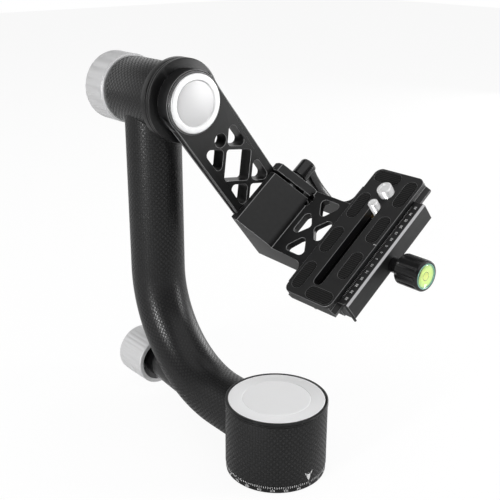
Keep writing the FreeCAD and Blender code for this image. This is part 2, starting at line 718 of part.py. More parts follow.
# Spindle with the turned hub flange that the arm is bolted to
TILT_NUT = "(%s + bearing_width)" % REAR_BEARING
TILT_END = "(%s + tilt_knob_length - 5)" % KNOB_FACE
tilt_spindle = turned("tilt_spindle", "XZ", "H_Axis", [
    ("-" + ARM_BACK, "0"), ("-" + ARM_BACK, "hub_flange_radius - edge_chamfer"),
    ("-(%s + edge_chamfer)" % ARM_BACK, "hub_flange_radius"),
    ("-(%s + hub_flange_thickness / 2 - flange_groove / 2)" % ARM_BACK, "hub_flange_radius"),
    ("-(%s + hub_flange_thickness / 2 - flange_groove / 2)" % ARM_BACK, "hub_flange_radius - flange_groove"),
    ("-(%s + hub_flange_thickness / 2 + flange_groove / 2)" % ARM_BACK, "hub_flange_radius - flange_groove"),
    ("-(%s + hub_flange_thickness / 2 + flange_groove / 2)" % ARM_BACK, "hub_flange_radius"),
    ("-(%s - edge_chamfer)" % HUB_BACK, "hub_flange_radius"),
    ("-" + HUB_BACK, "hub_flange_radius - edge_chamfer"), ("-" + HUB_BACK, INNER_RACE + " - 0.3"),
    ("-" + FRONT_BEARING, INNER_RACE + " - 0.3"), ("-" + FRONT_BEARING, "spindle_radius"),
    ("-" + TILT_NUT, "spindle_radius"), ("-" + TILT_NUT, "tilt_thread_radius"),
    ("-" + TILT_END, "tilt_thread_radius"), ("-" + TILT_END, "0")], "tilt_height")
for k in range(SCREWS_IN_RING):
    angle = 360.0 / SCREWS_IN_RING * k
    hole = new_sketch(tilt_spindle, "bolt_hole_%d" % k, "YZ", "-" + ARM_BACK)
    disc(hole, "hub_bolt_circle * %.6f" % math.cos(math.radians(angle)),
         "hub_bolt_circle * %.6f" % math.sin(math.radians(angle)), "hub_bolt_radius + pin_play")
    grow(tilt_spindle, "Pocket", "bolt_bore_%d" % k, hole, "hub_flange_thickness - 0.4")
follow_arm(tilt_spindle)
tilt_ring("tilt_spindle_nut", "tilt_thread_radius", "(spindle_radius + spacer_wall)",
          TILT_NUT, "(%s + brake_ring_width)" % TILT_NUT)

# Tilt lock: ring that is pressed on the housing's end, and the large silver knob
tilt_ring("tilt_brake_ring", "(spindle_radius + spacer_wall + seat_gap)", "brake_ring_radius",
          BRAKE_FACE, BRAKE_BACK)
TILT_KNOB_BACK = "(%s + tilt_knob_length)" % KNOB_FACE
tilt_ring("tilt_washer", "(tilt_thread_radius + pin_play)", "tilt_knob_hub", KNOB_FACE,
          "(%s + washer_height)" % KNOB_FACE)
HUB_FACE = "(%s + washer_height + seat_gap)" % KNOB_FACE
fluted_knob("tilt_lock_knob", [
    ("-" + HUB_FACE, "tilt_thread_radius + pin_play"), ("-" + HUB_FACE, "tilt_knob_hub"),
    ("-(%s + tilt_knob_hollow)" % KNOB_FACE, "tilt_knob_hub"),
    ("-(%s + tilt_knob_hollow)" % KNOB_FACE, "tilt_knob_radius - tilt_knob_wall"),
    ("-" + KNOB_FACE, "tilt_knob_radius - tilt_knob_wall"),
    ("-" + KNOB_FACE, "tilt_knob_radius - 2 * edge_chamfer"),
    ("-(%s + 2 * edge_chamfer)" % KNOB_FACE, "tilt_knob_radius"),
    ("-(%s - 3 * edge_chamfer)" % TILT_KNOB_BACK, "tilt_knob_radius"),
    ("-" + TILT_KNOB_BACK, "tilt_knob_radius - 3 * edge_chamfer"),
    ("-" + TILT_KNOB_BACK, "0"), ("-(%s + pin_play)" % TILT_END, "0"),
    ("-(%s + pin_play)" % TILT_END, "tilt_thread_radius + pin_play")],
    "tilt_height", "tilt_knob_radius", "tilt_flute_radius", "tilt_flute_depth", FLUTES_TILT,
    TILT_KNOB_BACK)

# Swing arm: a grooved bar with a round hub end and a lattice of diamonds and triangles
LAND = "(arm_front + arm_land)"
GROOVE = "(%s + arm_groove_depth)" % LAND
LIP = "(%s + arm_groove_depth)" % GROOVE
LIP_END = "(%s + arm_land / 2)" % LIP
BAR = [("-arm_front", "arm_half_width - edge_chamfer"),
       ("-(arm_front + edge_chamfer)", "arm_half_width"), ("-" + LAND, "arm_half_width"),
       ("-" + GROOVE, "arm_half_width - arm_groove_depth"), ("-" + LIP, "arm_half_width"),
       ("-" + LIP_END, "arm_half_width"), ("-" + ARM_BACK, "arm_back_half")]
arm = new_body("swing_arm")
bar = new_sketch(arm, "bar", "XY")
outline(bar, BAR + [(across, "-(%s)" % up) for across, up in reversed(BAR)])
grow(arm, "Pad", "bar_pad", bar, "arm_length", backwards=True)
end_disc = new_sketch(arm, "hub_circle", "YZ", "-" + ARM_BACK)
disc(end_disc, "0", "0", "arm_half_width")
grow(arm, "Pad", "hub_pad", end_disc, "arm_thickness")
rim_disc = new_sketch(arm, "hub_rim_circle", "YZ", "-arm_front - 1")
disc(rim_disc, "0", "0", "hub_cap_radius + bond_gap + hub_rim_width")
grow(arm, "Pad", "hub_rim", rim_disc, "hub_rim_height + 1")
cap_seat = new_sketch(arm, "cap_seat_circle", "YZ", "-arm_front + hub_rim_height + 1")
disc(cap_seat, "0", "0", "hub_cap_radius + bond_gap")
grow(arm, "Pocket", "cap_seat", cap_seat, "hub_rim_height + 1")
well = new_sketch(arm, "bolt_well_circle", "YZ", "-arm_front")
disc(well, "0", "0", "hub_recess_radius")
grow(arm, "Pocket", "bolt_well", well, "hub_recess_depth")
for k in range(SCREWS_IN_RING):
    angle = 360.0 / SCREWS_IN_RING * k
    hole = new_sketch(arm, "bolt_hole_%d" % k, "YZ")
    disc(hole, "hub_bolt_circle * %.6f" % math.cos(math.radians(angle)),
         "hub_bolt_circle * %.6f" % math.sin(math.radians(angle)), "hub_bolt_radius + pin_play")
    grow(arm, "Pocket", "bolt_bore_%d" % k, hole)

HALF = "(lattice_pitch / 2)"
GAP = "(strut_width / sqrt(2))"
RAIL = "(arm_half_width - rail_width)"
MIDDLE = "(lattice_start + lattice_pitch / 2)"
cell_sketch = new_sketch(arm, "lattice_cell", "YZ")
outline(cell_sketch, [("0", "-(%s - %s + %s)" % (MIDDLE, HALF, GAP)), (HALF + " - " + GAP, "-" + MIDDLE),
                      ("0", "-(%s + %s - %s)" % (MIDDLE, HALF, GAP)),
                      ("-(%s - %s)" % (HALF, GAP), "-" + MIDDLE)])
for sign in ("", "-"):
    outline(cell_sketch, [("%s(%s)" % (sign, GAP), "-lattice_start"),
                          ("%s(%s)" % (sign, RAIL), "-(lattice_start - %s + %s)" % (RAIL, GAP)),
                          ("%s(%s)" % (sign, RAIL), "-(lattice_start + %s - %s)" % (RAIL, GAP))])
cell_cut = grow(arm, "Pocket", "lattice_cut", cell_sketch)
doc.recompute()
lattice = arm.newObject("PartDesign::LinearPattern", "swing_arm_lattice")
lattice.Originals = [cell_cut]
lattice.Direction = (next(i for i in arm.Origin.OriginFeatures if i.Role == "Z_Axis"), [""])
lattice.Reversed = True
lattice.Occurrences = 2
tie(lattice, "Length", "lattice_pitch")
arm.Tip = lattice
doc.recompute()
inside = number(RAIL) + 0.1
DIAMOND_ROWS = [-number("lattice_start") - (k + 0.5) * number("lattice_pitch") for k in range(2)]


def through_edge(a, b):
    """Whether an edge runs straight through the bar, inside the lattice."""
    straight = abs(a.x - b.x) > 5 and a.sub(b).Length - abs(a.x - b.x) < 0.01
    return straight and abs(a.y) < inside and a.z < -number("lattice_start") + number(RAIL)


def at_diamond(a):
    """Whether a corner belongs to one of the diamonds."""
    return abs(a.y) < 1 or min(abs(a.z - row) for row in DIAMOND_ROWS) < 1


corners = edges_of(lattice, lambda a, b: through_edge(a, b) and not at_diamond(a))
rounded = dress(arm, "Fillet", "lattice_rounds", lattice, corners, "lattice_corner")
doc.recompute()
tips = edges_of(rounded, lambda a, b: through_edge(a, b) and at_diamond(a))
dress(arm, "Fillet", "diamond_rounds", rounded, tips, "diamond_corner")
eye = new_sketch(arm, "round_hole", "YZ")
disc(eye, "0", "-round_hole_at", "round_hole_radius")
grow(arm, "Pocket", "round_cut", eye)
follow_arm(arm)

cap = turned("arm_cap", "XZ", "H_Axis", [
    ("-arm_front", "0"), ("-arm_front", "hub_cap_radius"),
    ("-(arm_front - hub_cap_height + 0.3)", "hub_cap_radius"),
    ("-(arm_front - hub_cap_height)", "hub_cap_radius - 0.3"),
    ("-(arm_front - hub_cap_height)", "cap_dish_radius"),
    ("-(arm_front - hub_cap_height + cap_dish_depth)", "cap_dish_radius - 0.2"),
    ("-(arm_front - hub_cap_height + cap_dish_depth)", "0")])
follow_arm(cap)

BOLT_SEAT = "(arm_front + hub_recess_depth)"
hub_bolts = []
for k in range(SCREWS_IN_RING):
    angle = 360.0 / SCREWS_IN_RING * k
    across = "hub_bolt_circle * %.6f" % math.cos(math.radians(angle))
    up = "hub_bolt_circle * %.6f" % math.sin(math.radians(angle))
    head = cylinder("hub_bolt_head_%d" % k, "hub_bolt_head", "hub_bolt_head_height",
                    ("-" + BOLT_SEAT, across, up), X_AXIS)
    shank = cylinder("hub_bolt_shank_%d" % k, "hub_bolt_radius", "hub_bolt_length",
                     ("-(%s + hub_bolt_length)" % BOLT_SEAT, across, up), X_AXIS)
    hub_bolts.append(fuse("hub_bolt_%d" % k, [head, shank]))
follow_arm(group("hub_bolts", hub_bolts))

# Height bracket: slotted clamp block on the arm, trussed deck and the fixed half of the plate clamp
FRONT = "(arm_front - slide_play)"
DECK_IN = "(arm_front - slope_foot_reach)"
FIXED_LIP = "(plate_centre - waist_half_width - jaw_play)"
FIXED_VEE = "(plate_centre - dovetail_half_width - jaw_play)"
WALL = "(%s - clamp_wall)" % FIXED_VEE
FLOOR_TOP = "(plate_top + plate_thickness + seat_gap)"
bracket = new_body("platform_bracket")
side = new_sketch(bracket, "side", "XZ")
outline(side, [
    ("-bracket_back", "-(bracket_top + back_corner_drop)"),
    ("-(arm_front + back_corner_land)", "-bracket_top"),
    ("-(arm_front - slope_top_reach)", "-bracket_top"),
    ("-" + DECK_IN, "-slope_foot"), ("-(%s - 0.4)" % DECK_IN, "-step_foot"), (WALL, "-deck_end"),
    (WALL, "-keel_bottom"), ("-bracket_back", "-bracket_bottom")])
grow(bracket, "Pad", "block", side, "2 * bracket_half_width", both_sides=True)
rest = new_sketch(bracket, "clamp_side", "XZ")
VEE_LOW = "(plate_top + dovetail_depth + dovetail_land + jaw_play)"
outline(rest, [
    (WALL, "-deck_end"), (FIXED_LIP, "-jaw_top"),
    (FIXED_LIP, "-(plate_top + waist_depth)"),
    (FIXED_VEE, "-(plate_top + dovetail_depth)"), (FIXED_VEE, "-" + VEE_LOW),
    ("plate_centre - plate_foot_half - jaw_play", "-" + FLOOR_TOP),
    ("clamp_body_end", "-" + FLOOR_TOP), ("clamp_body_end", "-keel_bottom"), (WALL, "-keel_bottom")])
grow(bracket, "Pad", "clamp_half", rest, "2 * clamp_half_length", both_sides=True)
channel = new_sketch(bracket, "arm_channel", "XY")
SIDE = "(arm_half_width + slide_play)"
HOOK = "(arm_back_half + slide_play + 0.6)"
CHANNEL = [("-" + FRONT, SIDE), ("-" + LIP_END, SIDE), ("-(bracket_back + 1)", HOOK)]
outline(channel, CHANNEL + [(across, "-(%s)" % up) for across, up in reversed(CHANNEL)])
grow(bracket, "Pocket", "arm_way", channel, both_sides=True)
bevels = new_sketch(bracket, "back_bevels", "XY")
for sign in ("", "-"):
    outline(bevels, [("-(%s - 0.6)" % FRONT, "%s(bracket_half_width)" % sign),
                     ("-(%s - 0.6)" % FRONT, "%s(bracket_half_width + 2)" % sign),
                     ("-(bracket_back + 2)", "%s(bracket_half_width + 2)" % sign),
                     ("-(bracket_back + 2)", "%s(jaw_back_half - 0.8)" % sign)])
grow(bracket, "Pocket", "back_bevel_cut", bevels, both_sides=True)
under = new_sketch(bracket, "underside", "XY", "-(keel_bottom + 1)")
HOLLOW_BACK = "(arm_front - front_wall)"
outline(under, [("-" + HOLLOW_BACK, "bracket_half_width - side_rail"),
                (WALL, "bracket_half_width - side_rail"),
                (WALL, "-(bracket_half_width - side_rail)"),
                ("-" + HOLLOW_BACK, "-(bracket_half_width - side_rail)")])
hollowed = grow(bracket, "Pocket", "hollow", under, "keel_bottom + 1 - deck_end - deck_thickness + 1",
                backwards=True)

# Deck truss: four triangles left between two crossed struts
TRUSS_BACK = "(-%s + truss_margin)" % DECK_IN
TRUSS_FRONT = WALL
TRUSS_MID = "((%s + %s) / 2)" % (TRUSS_BACK, TRUSS_FRONT)
TRUSS_SIDE = "(bracket_half_width - side_rail)"
plugs = new_body("truss_plugs")
plugs.AllowCompound = True
truss = new_sketch(plugs, "truss", "XY", "-(deck_end + deck_thickness + 2)")
outline(truss, [(TRUSS_BACK, "truss_end_half"), (TRUSS_MID + " - truss_neck_across", "0"),
                (TRUSS_BACK, "-truss_end_half")])
outline(truss, [(TRUSS_FRONT, "truss_end_half"), (TRUSS_MID + " + truss_neck_across", "0"),
                (TRUSS_FRONT, "-truss_end_half")])
for sign in ("", "-"):
    outline(truss, [(TRUSS_MID + " - truss_side_half", "%s(%s)" % (sign, TRUSS_SIDE)),
                    (TRUSS_MID + " + truss_side_half", "%s(%s)" % (sign, TRUSS_SIDE)),
                    (TRUSS_MID, "%s(truss_neck_along)" % sign)])
truss_pad = grow(plugs, "Pad", "truss_pad", truss, "deck_thickness + 6")
doc.recompute()
plug_edges = edges_of(truss_pad, lambda a, b: abs(a.z - b.z) > 2)
dress(plugs, "Fillet", "truss_rounds", truss_pad, plug_edges, "truss_corner")
pieces.remove(plugs)

# Split finger: a slot down to a relief hole, and the clamping screw through both sides of it
slot = new_sketch(bracket, "slot", "XZ", "-slot_at")
outline(slot, [("-(bracket_back + 1)", "-(bracket_top - 1)"), ("-%s + 4" % DECK_IN, "-(bracket_top - 1)"),
               ("-%s + 4" % DECK_IN, "-step_foot"), ("-(%s + relief_radius)" % DECK_IN, "-(step_foot + 2)"),
               ("-(bracket_back + 1)", "-(step_foot + 2)")])
grow(bracket, "Pocket", "slot_cut", slot, "slot_width", both_sides=True)
relief = cylinder("relief_drill", "relief_radius", "18",
                  ("-%s - 13" % DECK_IN, "relief_at", "-(step_foot + 1.5) - 9"), Vector(0.72, 0, 0.69))
screw_drill = cylinder("height_screw_drill", "height_screw_radius + pin_play", "bracket_half_width + 12",
                       ("-(arm_front - height_screw_reach)", "-11", "-height_screw_down"), Y_AXIS)
jaw_screw_drill = cylinder("clamp_screw_drill", "clamp_screw_radius + pin_play", "clamp_screw_depth + 1",
                           ("clamp_body_end - clamp_screw_depth", "0", "-clamp_axis_down"),
                           X_AXIS)
pin_drills = [cylinder("guide_drill_%d" % k, "guide_pin_radius + pin_play", "guide_pin_depth + 1",
                       ("clamp_body_end - guide_pin_depth", "%d * guide_pin_at" % k, "-clamp_axis_down"),
                       X_AXIS) for k in (-1, 1)]
webs = []
for sign in ("", "-"):
    block = doc.addObject("Part::Box", "web_block")
    tie(block, "Length", "web_radius")
    tie(block, "Width", "web_radius")
    tie(block, "Height", "keel_bottom - 1.5 - deck_end")
    tie(block, ".Placement.Base.x", WALL + " - web_radius")
    low_side = "bracket_half_width" if not sign else "-(bracket_half_width + web_radius)"
    tie(block, ".Placement.Base.y", low_side)
    tie(block, ".Placement.Base.z", "-(keel_bottom - 1.5)")
    bite = cylinder("web_bite", "web_radius", "keel_bottom - deck_end + 2",
                    (WALL + " - web_radius", "%s(bracket_half_width + web_radius)" % sign,
                     "-(keel_bottom + 1)"), Z_AXIS)
    web = doc.addObject("Part::Cut", "web")
    web.Base = block
    web.Tool = bite
    webs.append(web)
drilled = doc.addObject("Part::Cut", "platform_bracket_drilled")
drilled.Base = fuse("bracket_with_webs", [bracket] + webs)
drilled.Tool = fuse("bracket_drills", [plugs, relief, screw_drill, jaw_screw_drill] + pin_drills)
bracket.Label = "platform_bracket_blank"
pieces.remove(bracket)
drilled.Label = "platform_bracket"
pieces.append(drilled)
follow_arm(drilled)

# Height lock: screw across the block, thrust washer and the lever that is held in line with the arm
CLAMP_SPOT = ("-(arm_front - height_screw_reach)", "0")
lock_screw = turned("height_lock_screw", "XY", "V_Axis", [
    ("0", "-(slot_at - height_screw_radius - 4)"), ("height_screw_radius", "-(slot_at - height_screw_radius - 4)"),
    ("height_screw_radius", "bracket_half_width + lever_hub_length - 4"),
    ("0", "bracket_half_width + lever_hub_length - 4")],
    offset="-height_screw_down", shift=CLAMP_SPOT)
follow_arm(lock_screw)
turned("height_washer", "XY", "V_Axis", [
    ("height_screw_radius + pin_play", "bracket_half_width + bond_gap"),
    ("lever_hub_radius", "bracket_half_width + bond_gap"),
    ("lever_hub_radius", "bracket_half_width + bond_gap + washer_height"),
    ("height_screw_radius + pin_play", "bracket_half_width + bond_gap + washer_height")],
    offset="-height_screw_down", shift=CLAMP_SPOT)
follow_arm(pieces[-1])
LEVER_FOOT = "(bracket_half_width + washer_height + seat_gap)"
LEVER_TOP = "(%s + lever_hub_length)" % LEVER_FOOT
lever = turned("height_lever", "XY", "V_Axis", [
    ("height_screw_radius + bond_gap", LEVER_FOOT), ("lever_hub_radius - edge_chamfer", LEVER_FOOT),
    ("lever_hub_radius", LEVER_FOOT + " + edge_chamfer"),
    ("lever_hub_radius", LEVER_TOP + " - 2 * edge_chamfer"),
    ("lever_hub_radius - edge_chamfer", LEVER_TOP + " - edge_chamfer / 2"),
    ("lever_hub_radius - 3 * edge_chamfer", LEVER_TOP), ("0", LEVER_TOP),
    ("0", "bracket_half_width + lever_hub_length - 3.5"),
    ("height_screw_radius + bond_gap", "bracket_half_width + lever_hub_length - 3.5")],
    offset="-height_screw_down", shift=CLAMP_SPOT)
blade = new_sketch(lever, "blade", "XZ", "-(%s - lever_thickness - 0.6)" % LEVER_TOP,
                   ("-(arm_front - height_screw_reach)", "-height_screw_down"))
outline(blade, [("-lever_hub_radius * 0.8", "-1"), ("-lever_hub_radius * 0.95", "-lever_reach * 0.45"),
                ("-lever_hub_radius * 1.3", "-(lever_reach - 4)"), ("-lever_hub_radius", "-(lever_reach - 1)"),
                ("0", "-lever_reach"), ("lever_hub_radius", "-(lever_reach - 1)"),
                ("lever_hub_radius * 1.3", "-(lever_reach - 4)"),
                ("lever_hub_radius * 0.95", "-lever_reach * 0.45"), ("lever_hub_radius * 0.8", "-1")])
grow(lever, "Pad", "blade_pad", blade, "lever_thickness", backwards=True)
follow_arm(lever)

# Moving jaw of the plate clamp, with its guide pins and drop stop
MOVING_LIP = "(plate_centre + waist_half_width + jaw_play)"
MOVING_VEE = "(plate_centre + dovetail_half_width + jaw_play)"
JAW_REAR = "(clamp_body_end + 4 * seat_gap)"
STOP_X = "(jaw_front - 2 * stop_pin_inset)"
jaw = new_body("moving_jaw")
jaw_side = new_sketch(jaw, "side", "XZ")
outline(jaw_side, [
    (MOVING_LIP, "-jaw_top"), ("jaw_front - jaw_chamfer", "-jaw_top"),
    ("jaw_front", "-(jaw_top + jaw_chamfer)"), ("jaw_front", "-jaw_bottom"),
    ("jaw_front - jaw_foot", "-(jaw_bottom + jaw_foot)"), (JAW_REAR, "-(jaw_bottom + jaw_foot)"),
    (JAW_REAR, "-" + FLOOR_TOP), ("plate_centre + plate_foot_half + jaw_play", "-" + FLOOR_TOP),
    (MOVING_VEE, "-" + VEE_LOW), (MOVING_VEE, "-(plate_top + dovetail_depth)"),
    (MOVING_LIP, "-(plate_top + waist_depth)")])
grow(jaw, "Pad", "block", jaw_side, "2 * clamp_half_length", both_sides=True)
screw_hole = new_sketch(jaw, "screw_hole", "YZ")
disc(screw_hole, "0", "-clamp_axis_down", "clamp_screw_radius + pin_play")
grow(jaw, "Pocket", "screw_bore", screw_hole, "2 * jaw_front", backwards=True)
pin_holes = new_sketch(jaw, "pin_holes", "YZ")
for sign in ("", "-"):
    disc(pin_holes, sign + "guide_pin_at", "-clamp_axis_down", "guide_pin_radius + bond_gap")
grow(jaw, "Pocket", "pin_bores", pin_holes, "jaw_front - 3", backwards=True)
drop = new_sketch(jaw, "drop_groove", "XY")
disc(drop, STOP_X, "-clamp_half_length", "stop_pin_radius + bond_gap")
grow(jaw, "Pocket", "drop_way", drop)
follow_arm(jaw)

follow_arm(group("guide_pins", [
    cylinder("guide_pin_%d" % k, "guide_pin_radius", "guide_pin_depth - clamp_body_end + jaw_front - 4",
             ("clamp_body_end - guide_pin_depth + 0.5", "%d * guide_pin_at" % k, "-clamp_axis_down"), X_AXIS)
    for k in (-1, 1)]))
follow_arm(group("jaw_drop_pin", [
    cylinder("drop_pin", "stop_pin_radius", "stop_pin_length",
             (STOP_X, "-clamp_half_length", "-(jaw_top + stop_pin_length)"), Z_AXIS)]))

# Clamp knob with its screw and the round spirit level let into its face
KNOB_START = "(jaw_front + clamp_stem_length)"
KNOB_END = "(%s + clamp_knob_length)" % KNOB_START
SCREW_END = "(%s - level_depth - 2)" % KNOB_END
ON_CLAMP_AXIS = ("0", "-clamp_axis_down")
follow_arm(turned("clamp_screw", "XZ", "H_Axis", [
    ("clamp_body_end - clamp_screw_depth + 0.5", "0"),
    ("clamp_body_end - clamp_screw_depth + 0.5", "clamp_screw_radius"), (SCREW_END, "clamp_screw_radius"),
    (SCREW_END, "0")], shift=ON_CLAMP_AXIS))
knob = turned("clamp_knob", "XZ", "H_Axis", [
    ("jaw_front + seat_gap", "clamp_screw_radius + bond_gap"), ("jaw_front + seat_gap", "clamp_stem_radius"),
    (KNOB_START, "clamp_stem_radius"), (KNOB_START, "clamp_knob_radius - edge_chamfer"),
    (KNOB_START + " + edge_chamfer", "clamp_knob_radius"), (KNOB_END + " - edge_chamfer", "clamp_knob_radius"),
    (KNOB_END, "clamp_knob_radius - edge_chamfer"), (KNOB_END, "level_radius + bond_gap"),
    (KNOB_END + " - level_depth", "level_radius + bond_gap"), (KNOB_END + " - level_depth", "0"),
    (SCREW_END + " + 0.3", "0"), (SCREW_END + " + 0.3", "clamp_screw_radius + bond_gap")],
    shift=ON_CLAMP_AXIS)
flute = new_sketch(knob, "flute", "YZ", KNOB_START)
disc(flute, "0", "-clamp_axis_down + clamp_knob_radius + clamp_flute_radius - clamp_flute_depth",
     "clamp_flute_radius")
flute_cut = grow(knob, "Pocket", "flute_cut", flute, "clamp_knob_length - 4 * edge_chamfer", backwards=True)
axle = new_sketch(knob, "axle", "XZ", shift=ON_CLAMP_AXIS)
axle.Visibility = False
outline(axle, [("0", "0"), ("1", "0"), ("1", "1"), ("0", "1")])
flutes = knob.newObject("PartDesign::PolarPattern", "clamp_knob_flutes")
flutes.Originals = [flute_cut]
flutes.Axis = (axle, ["H_Axis"])
flutes.Angle = 360
flutes.Occurrences = FLUTES_CLAMP
knob.Tip = flutes
follow_arm(knob)
follow_arm(turned("level_bezel", "XZ", "H_Axis", [
    (KNOB_END + " - level_depth", "level_radius - bezel_width"), (KNOB_END + " - level_depth", "level_radius"),
    (KNOB_END + " + 0.3", "level_radius"), (KNOB_END + " + 0.3", "level_radius - bezel_width")],
    shift=ON_CLAMP_AXIS))
follow_arm(turned("level_vial", "XZ", "H_Axis", [
    (KNOB_END + " - level_depth", "0"), (KNOB_END + " - level_depth", "level_radius - bezel_width - bond_gap"),
    (KNOB_END, "level_radius - bezel_width - bond_gap"), (KNOB_END + " + 0.2", "level_radius - 2 * bezel_width"),
    (KNOB_END + " + 0.2", "0")], shift=ON_CLAMP_AXIS))

# Lens plate: rounded top over a dovetail, with pads, screw slot, hole and head channel
PLATE_MID = "plate_shift"
RIM_LOW = "(plate_top + plate_rim)"
blank = new_body("lens_plate_blank")
top_face = new_sketch(blank, "top", "XY", "-" + RIM_LOW)
outline(top_face, [("plate_centre - plate_half_width", PLATE_MID + " - plate_length / 2"),
                   ("plate_centre + plate_half_width", PLATE_MID + " - plate_length / 2"),
                   ("plate_centre + plate_half_width", PLATE_MID + " + plate_length / 2"),
                   ("plate_centre - plate_half_width", PLATE_MID + " + plate_length / 2")])
rim_pad = grow(blank, "Pad", "rim", top_face, "plate_rim")
doc.recompute()
uprights = edges_of(rim_pad, lambda a, b: abs(a.z - b.z) > 1)
dress(blank, "Fillet", "corner_rounds", rim_pad, uprights, "plate_corner")
foot = new_sketch(blank, "dovetail", "XZ", "-" + PLATE_MID)
HALF_FOOT = [("waist_half_width", "-(%s - 0.5)" % RIM_LOW), ("waist_half_width", "-(plate_top + waist_depth)"),
             ("dovetail_half_width", "-(plate_top + dovetail_depth)"),
             ("dovetail_half_width", "-(plate_top + dovetail_depth + dovetail_land)"),
             ("plate_foot_half", "-(plate_top + plate_thickness)")]
outline(foot, [("plate_centre + " + across, up) for across, up in HALF_FOOT]
        + [("plate_centre - " + across, up) for across, up in reversed(HALF_FOOT)])
grow(blank, "Pad", "dovetail_pad", foot, "plate_length - 2", both_sides=True)


def lane(body, name, offset, boxes):
    """Rectangles in one sketch, each by its middle and half sizes."""
    sketch = new_sketch(body, name, "XY", offset)
    for mid_x, mid_y, half_x, half_y in boxes:
        outline(sketch, [("%s - %s" % (mid_x, half_x), "%s - %s" % (mid_y, half_y)),
                         ("%s + %s" % (mid_x, half_x), "%s - %s" % (mid_y, half_y)),
                         ("%s + %s" % (mid_x, half_x), "%s + %s" % (mid_y, half_y)),
                         ("%s - %s" % (mid_x, half_x), "%s + %s" % (mid_y, half_y))])
    return sketch


SLOT_MID = "((small_screw_at - slot_end) / 2)"
SLOT_REACH = "((small_screw_at + slot_end) / 2)"
slot_sketch = lane(blank, "screw_slot", None, [("plate_centre", SLOT_MID, "slot_half_width", SLOT_REACH)])
for end in ("small_screw_at", "-slot_end"):
    ends = new_sketch(blank, "slot_end_" + end.strip("-")[:4], "XY")
    disc(ends, "plate_centre", end, "slot_half_width")
    grow(blank, "Pocket", "round_" + end.strip("-")[:4], ends)
grow(blank, "Pocket", "slot_cut", slot_sketch)
hole = new_sketch(blank, "large_hole", "XY")
disc(hole, "plate_centre", "large_screw_at", "large_screw_radius + screw_play")
grow(blank, "Pocket", "large_cut", hole)
channel = lane(blank, "head_channel", "-(plate_top + plate_thickness + 1)", [
    ("plate_centre", "(large_screw_at - slot_end) / 2", "screw_channel_half",
     "((large_screw_at + slot_end) / 2 + screw_channel_half)")])
grow(blank, "Pocket", "head_way", channel, "plate_thickness + 1 - screw_floor", backwards=True)
FOOT_FACE = "(plate_top + plate_thickness)"
ENDS = ["(%s %s (plate_length / 2 - end_screw_inset))" % (PLATE_MID, side) for side in "+-"]
end_holes = new_sketch(blank, "end_screw_holes", "XY", "-%s" % FOOT_FACE)
for spot in ENDS:
    disc(end_holes, "plate_centre", spot, "end_screw_radius + pin_play")
grow(blank, "Pocket", "end_screw_bores", end_holes, "end_screw_length + 0.4", backwards=True)
pieces.remove(blank)

SIDE_PADS = [("(plate_centre %s pad_offset)" % side, "(%s %s (pad_stagger + %d * pad_pitch))" % (PLATE_MID, side, k),
              "pad_half_width", "(pad_length / 2)") for side in "+-" for k in (-1, 0, 1)]
END_PADS = [("(plate_centre %s end_pad_offset)" % side, "(%s %s end_pad_at)" % (PLATE_MID, other),
             "(pad_length / 2)", "pad_half_width") for side, other in ("-+", "+-")]
pads = new_body("pad_blanks")
pads.AllowCompound = True
pad_sketch = lane(pads, "stadiums", "-(plate_top + pad_thickness - pad_proud)", SIDE_PADS + END_PADS)
pad_pad = grow(pads, "Pad", "pads", pad_sketch, "pad_thickness")
doc.recompute()
pad_edges = edges_of(pad_pad, lambda a, b: abs(a.z - b.z) > 0.5)
dress(pads, "Fillet", "pad_rounds", pad_pad, pad_edges, "pad_half_width - 0.1")
pieces.remove(pads)
lens_plate = doc.addObject("Part::Cut", "quick_plate")
lens_plate.Label = "quick_plate"
lens_plate.Base = blank
lens_plate.Tool = pads
pieces.append(lens_plate)
follow_arm(lens_plate)
follow_arm(group("grip_pads", [pads]))
follow_arm(group("plate_end_screws", [
    fuse("end_screw_%d" % k, [
        cylinder("end_screw_head_%d" % k, "end_screw_head", "end_screw_height",
                 ("plate_centre", spot, "-(%s + bond_gap + end_screw_height)" % FOOT_FACE), Z_AXIS),
        cylinder("end_screw_shank_%d" % k, "end_screw_radius", "end_screw_length + bond_gap + 1",
                 ("plate_centre", spot, "-(%s + bond_gap + 1)" % FOOT_FACE), Z_AXIS)])
    for k, spot in enumerate(ENDS)]))


def lens_screw(label, radius, head_radius, along, seat):
    """A camera screw standing up through the plate, with a thin neck and its head under the ledge."""
    return turned(label, "XZ", "V_Axis", [
        ("0", "-(plate_top - screw_proud)"), (radius + " - edge_chamfer", "-(plate_top - screw_proud)"),
        (radius, "-(plate_top - screw_proud + edge_chamfer)"),
        (radius, "-(plate_top - thread_clearance)"),
        (radius + " - screw_neck", "-(plate_top - thread_clearance)"),
        (radius + " - screw_neck", "-" + seat),
        (head_radius, "-" + seat), (head_radius, "-(%s + screw_head_height)" % seat),
        ("0", "-(%s + screw_head_height)" % seat)], offset="-" + along, shift=("plate_centre", "0"))


LEDGE = "(plate_top + screw_floor)"
CLIP_BORE = "(small_screw_radius - screw_neck + screw_play)"
follow_arm(lens_screw("three_eighth_screw", "large_screw_radius", "large_head_radius", "large_screw_at",
                      "(%s + seat_gap)" % LEDGE))
follow_arm(lens_screw("quarter_screw", "small_screw_radius", "small_head_radius", "small_screw_at",
                      "(%s + 2 * bond_gap + clip_thickness)" % LEDGE))
follow_arm(turned("quarter_screw_clip", "XZ", "V_Axis", [
    (CLIP_BORE, "-(%s + bond_gap)" % LEDGE),
    ("small_screw_radius + screw_play + clip_wall", "-(%s + bond_gap)" % LEDGE),
    ("small_screw_radius + screw_play + clip_wall", "-(%s + bond_gap + clip_thickness)" % LEDGE),
    (CLIP_BORE, "-(%s + bond_gap + clip_thickness)" % LEDGE)],
    offset="-small_screw_at", shift=("plate_centre", "0")))

doc.recompute()

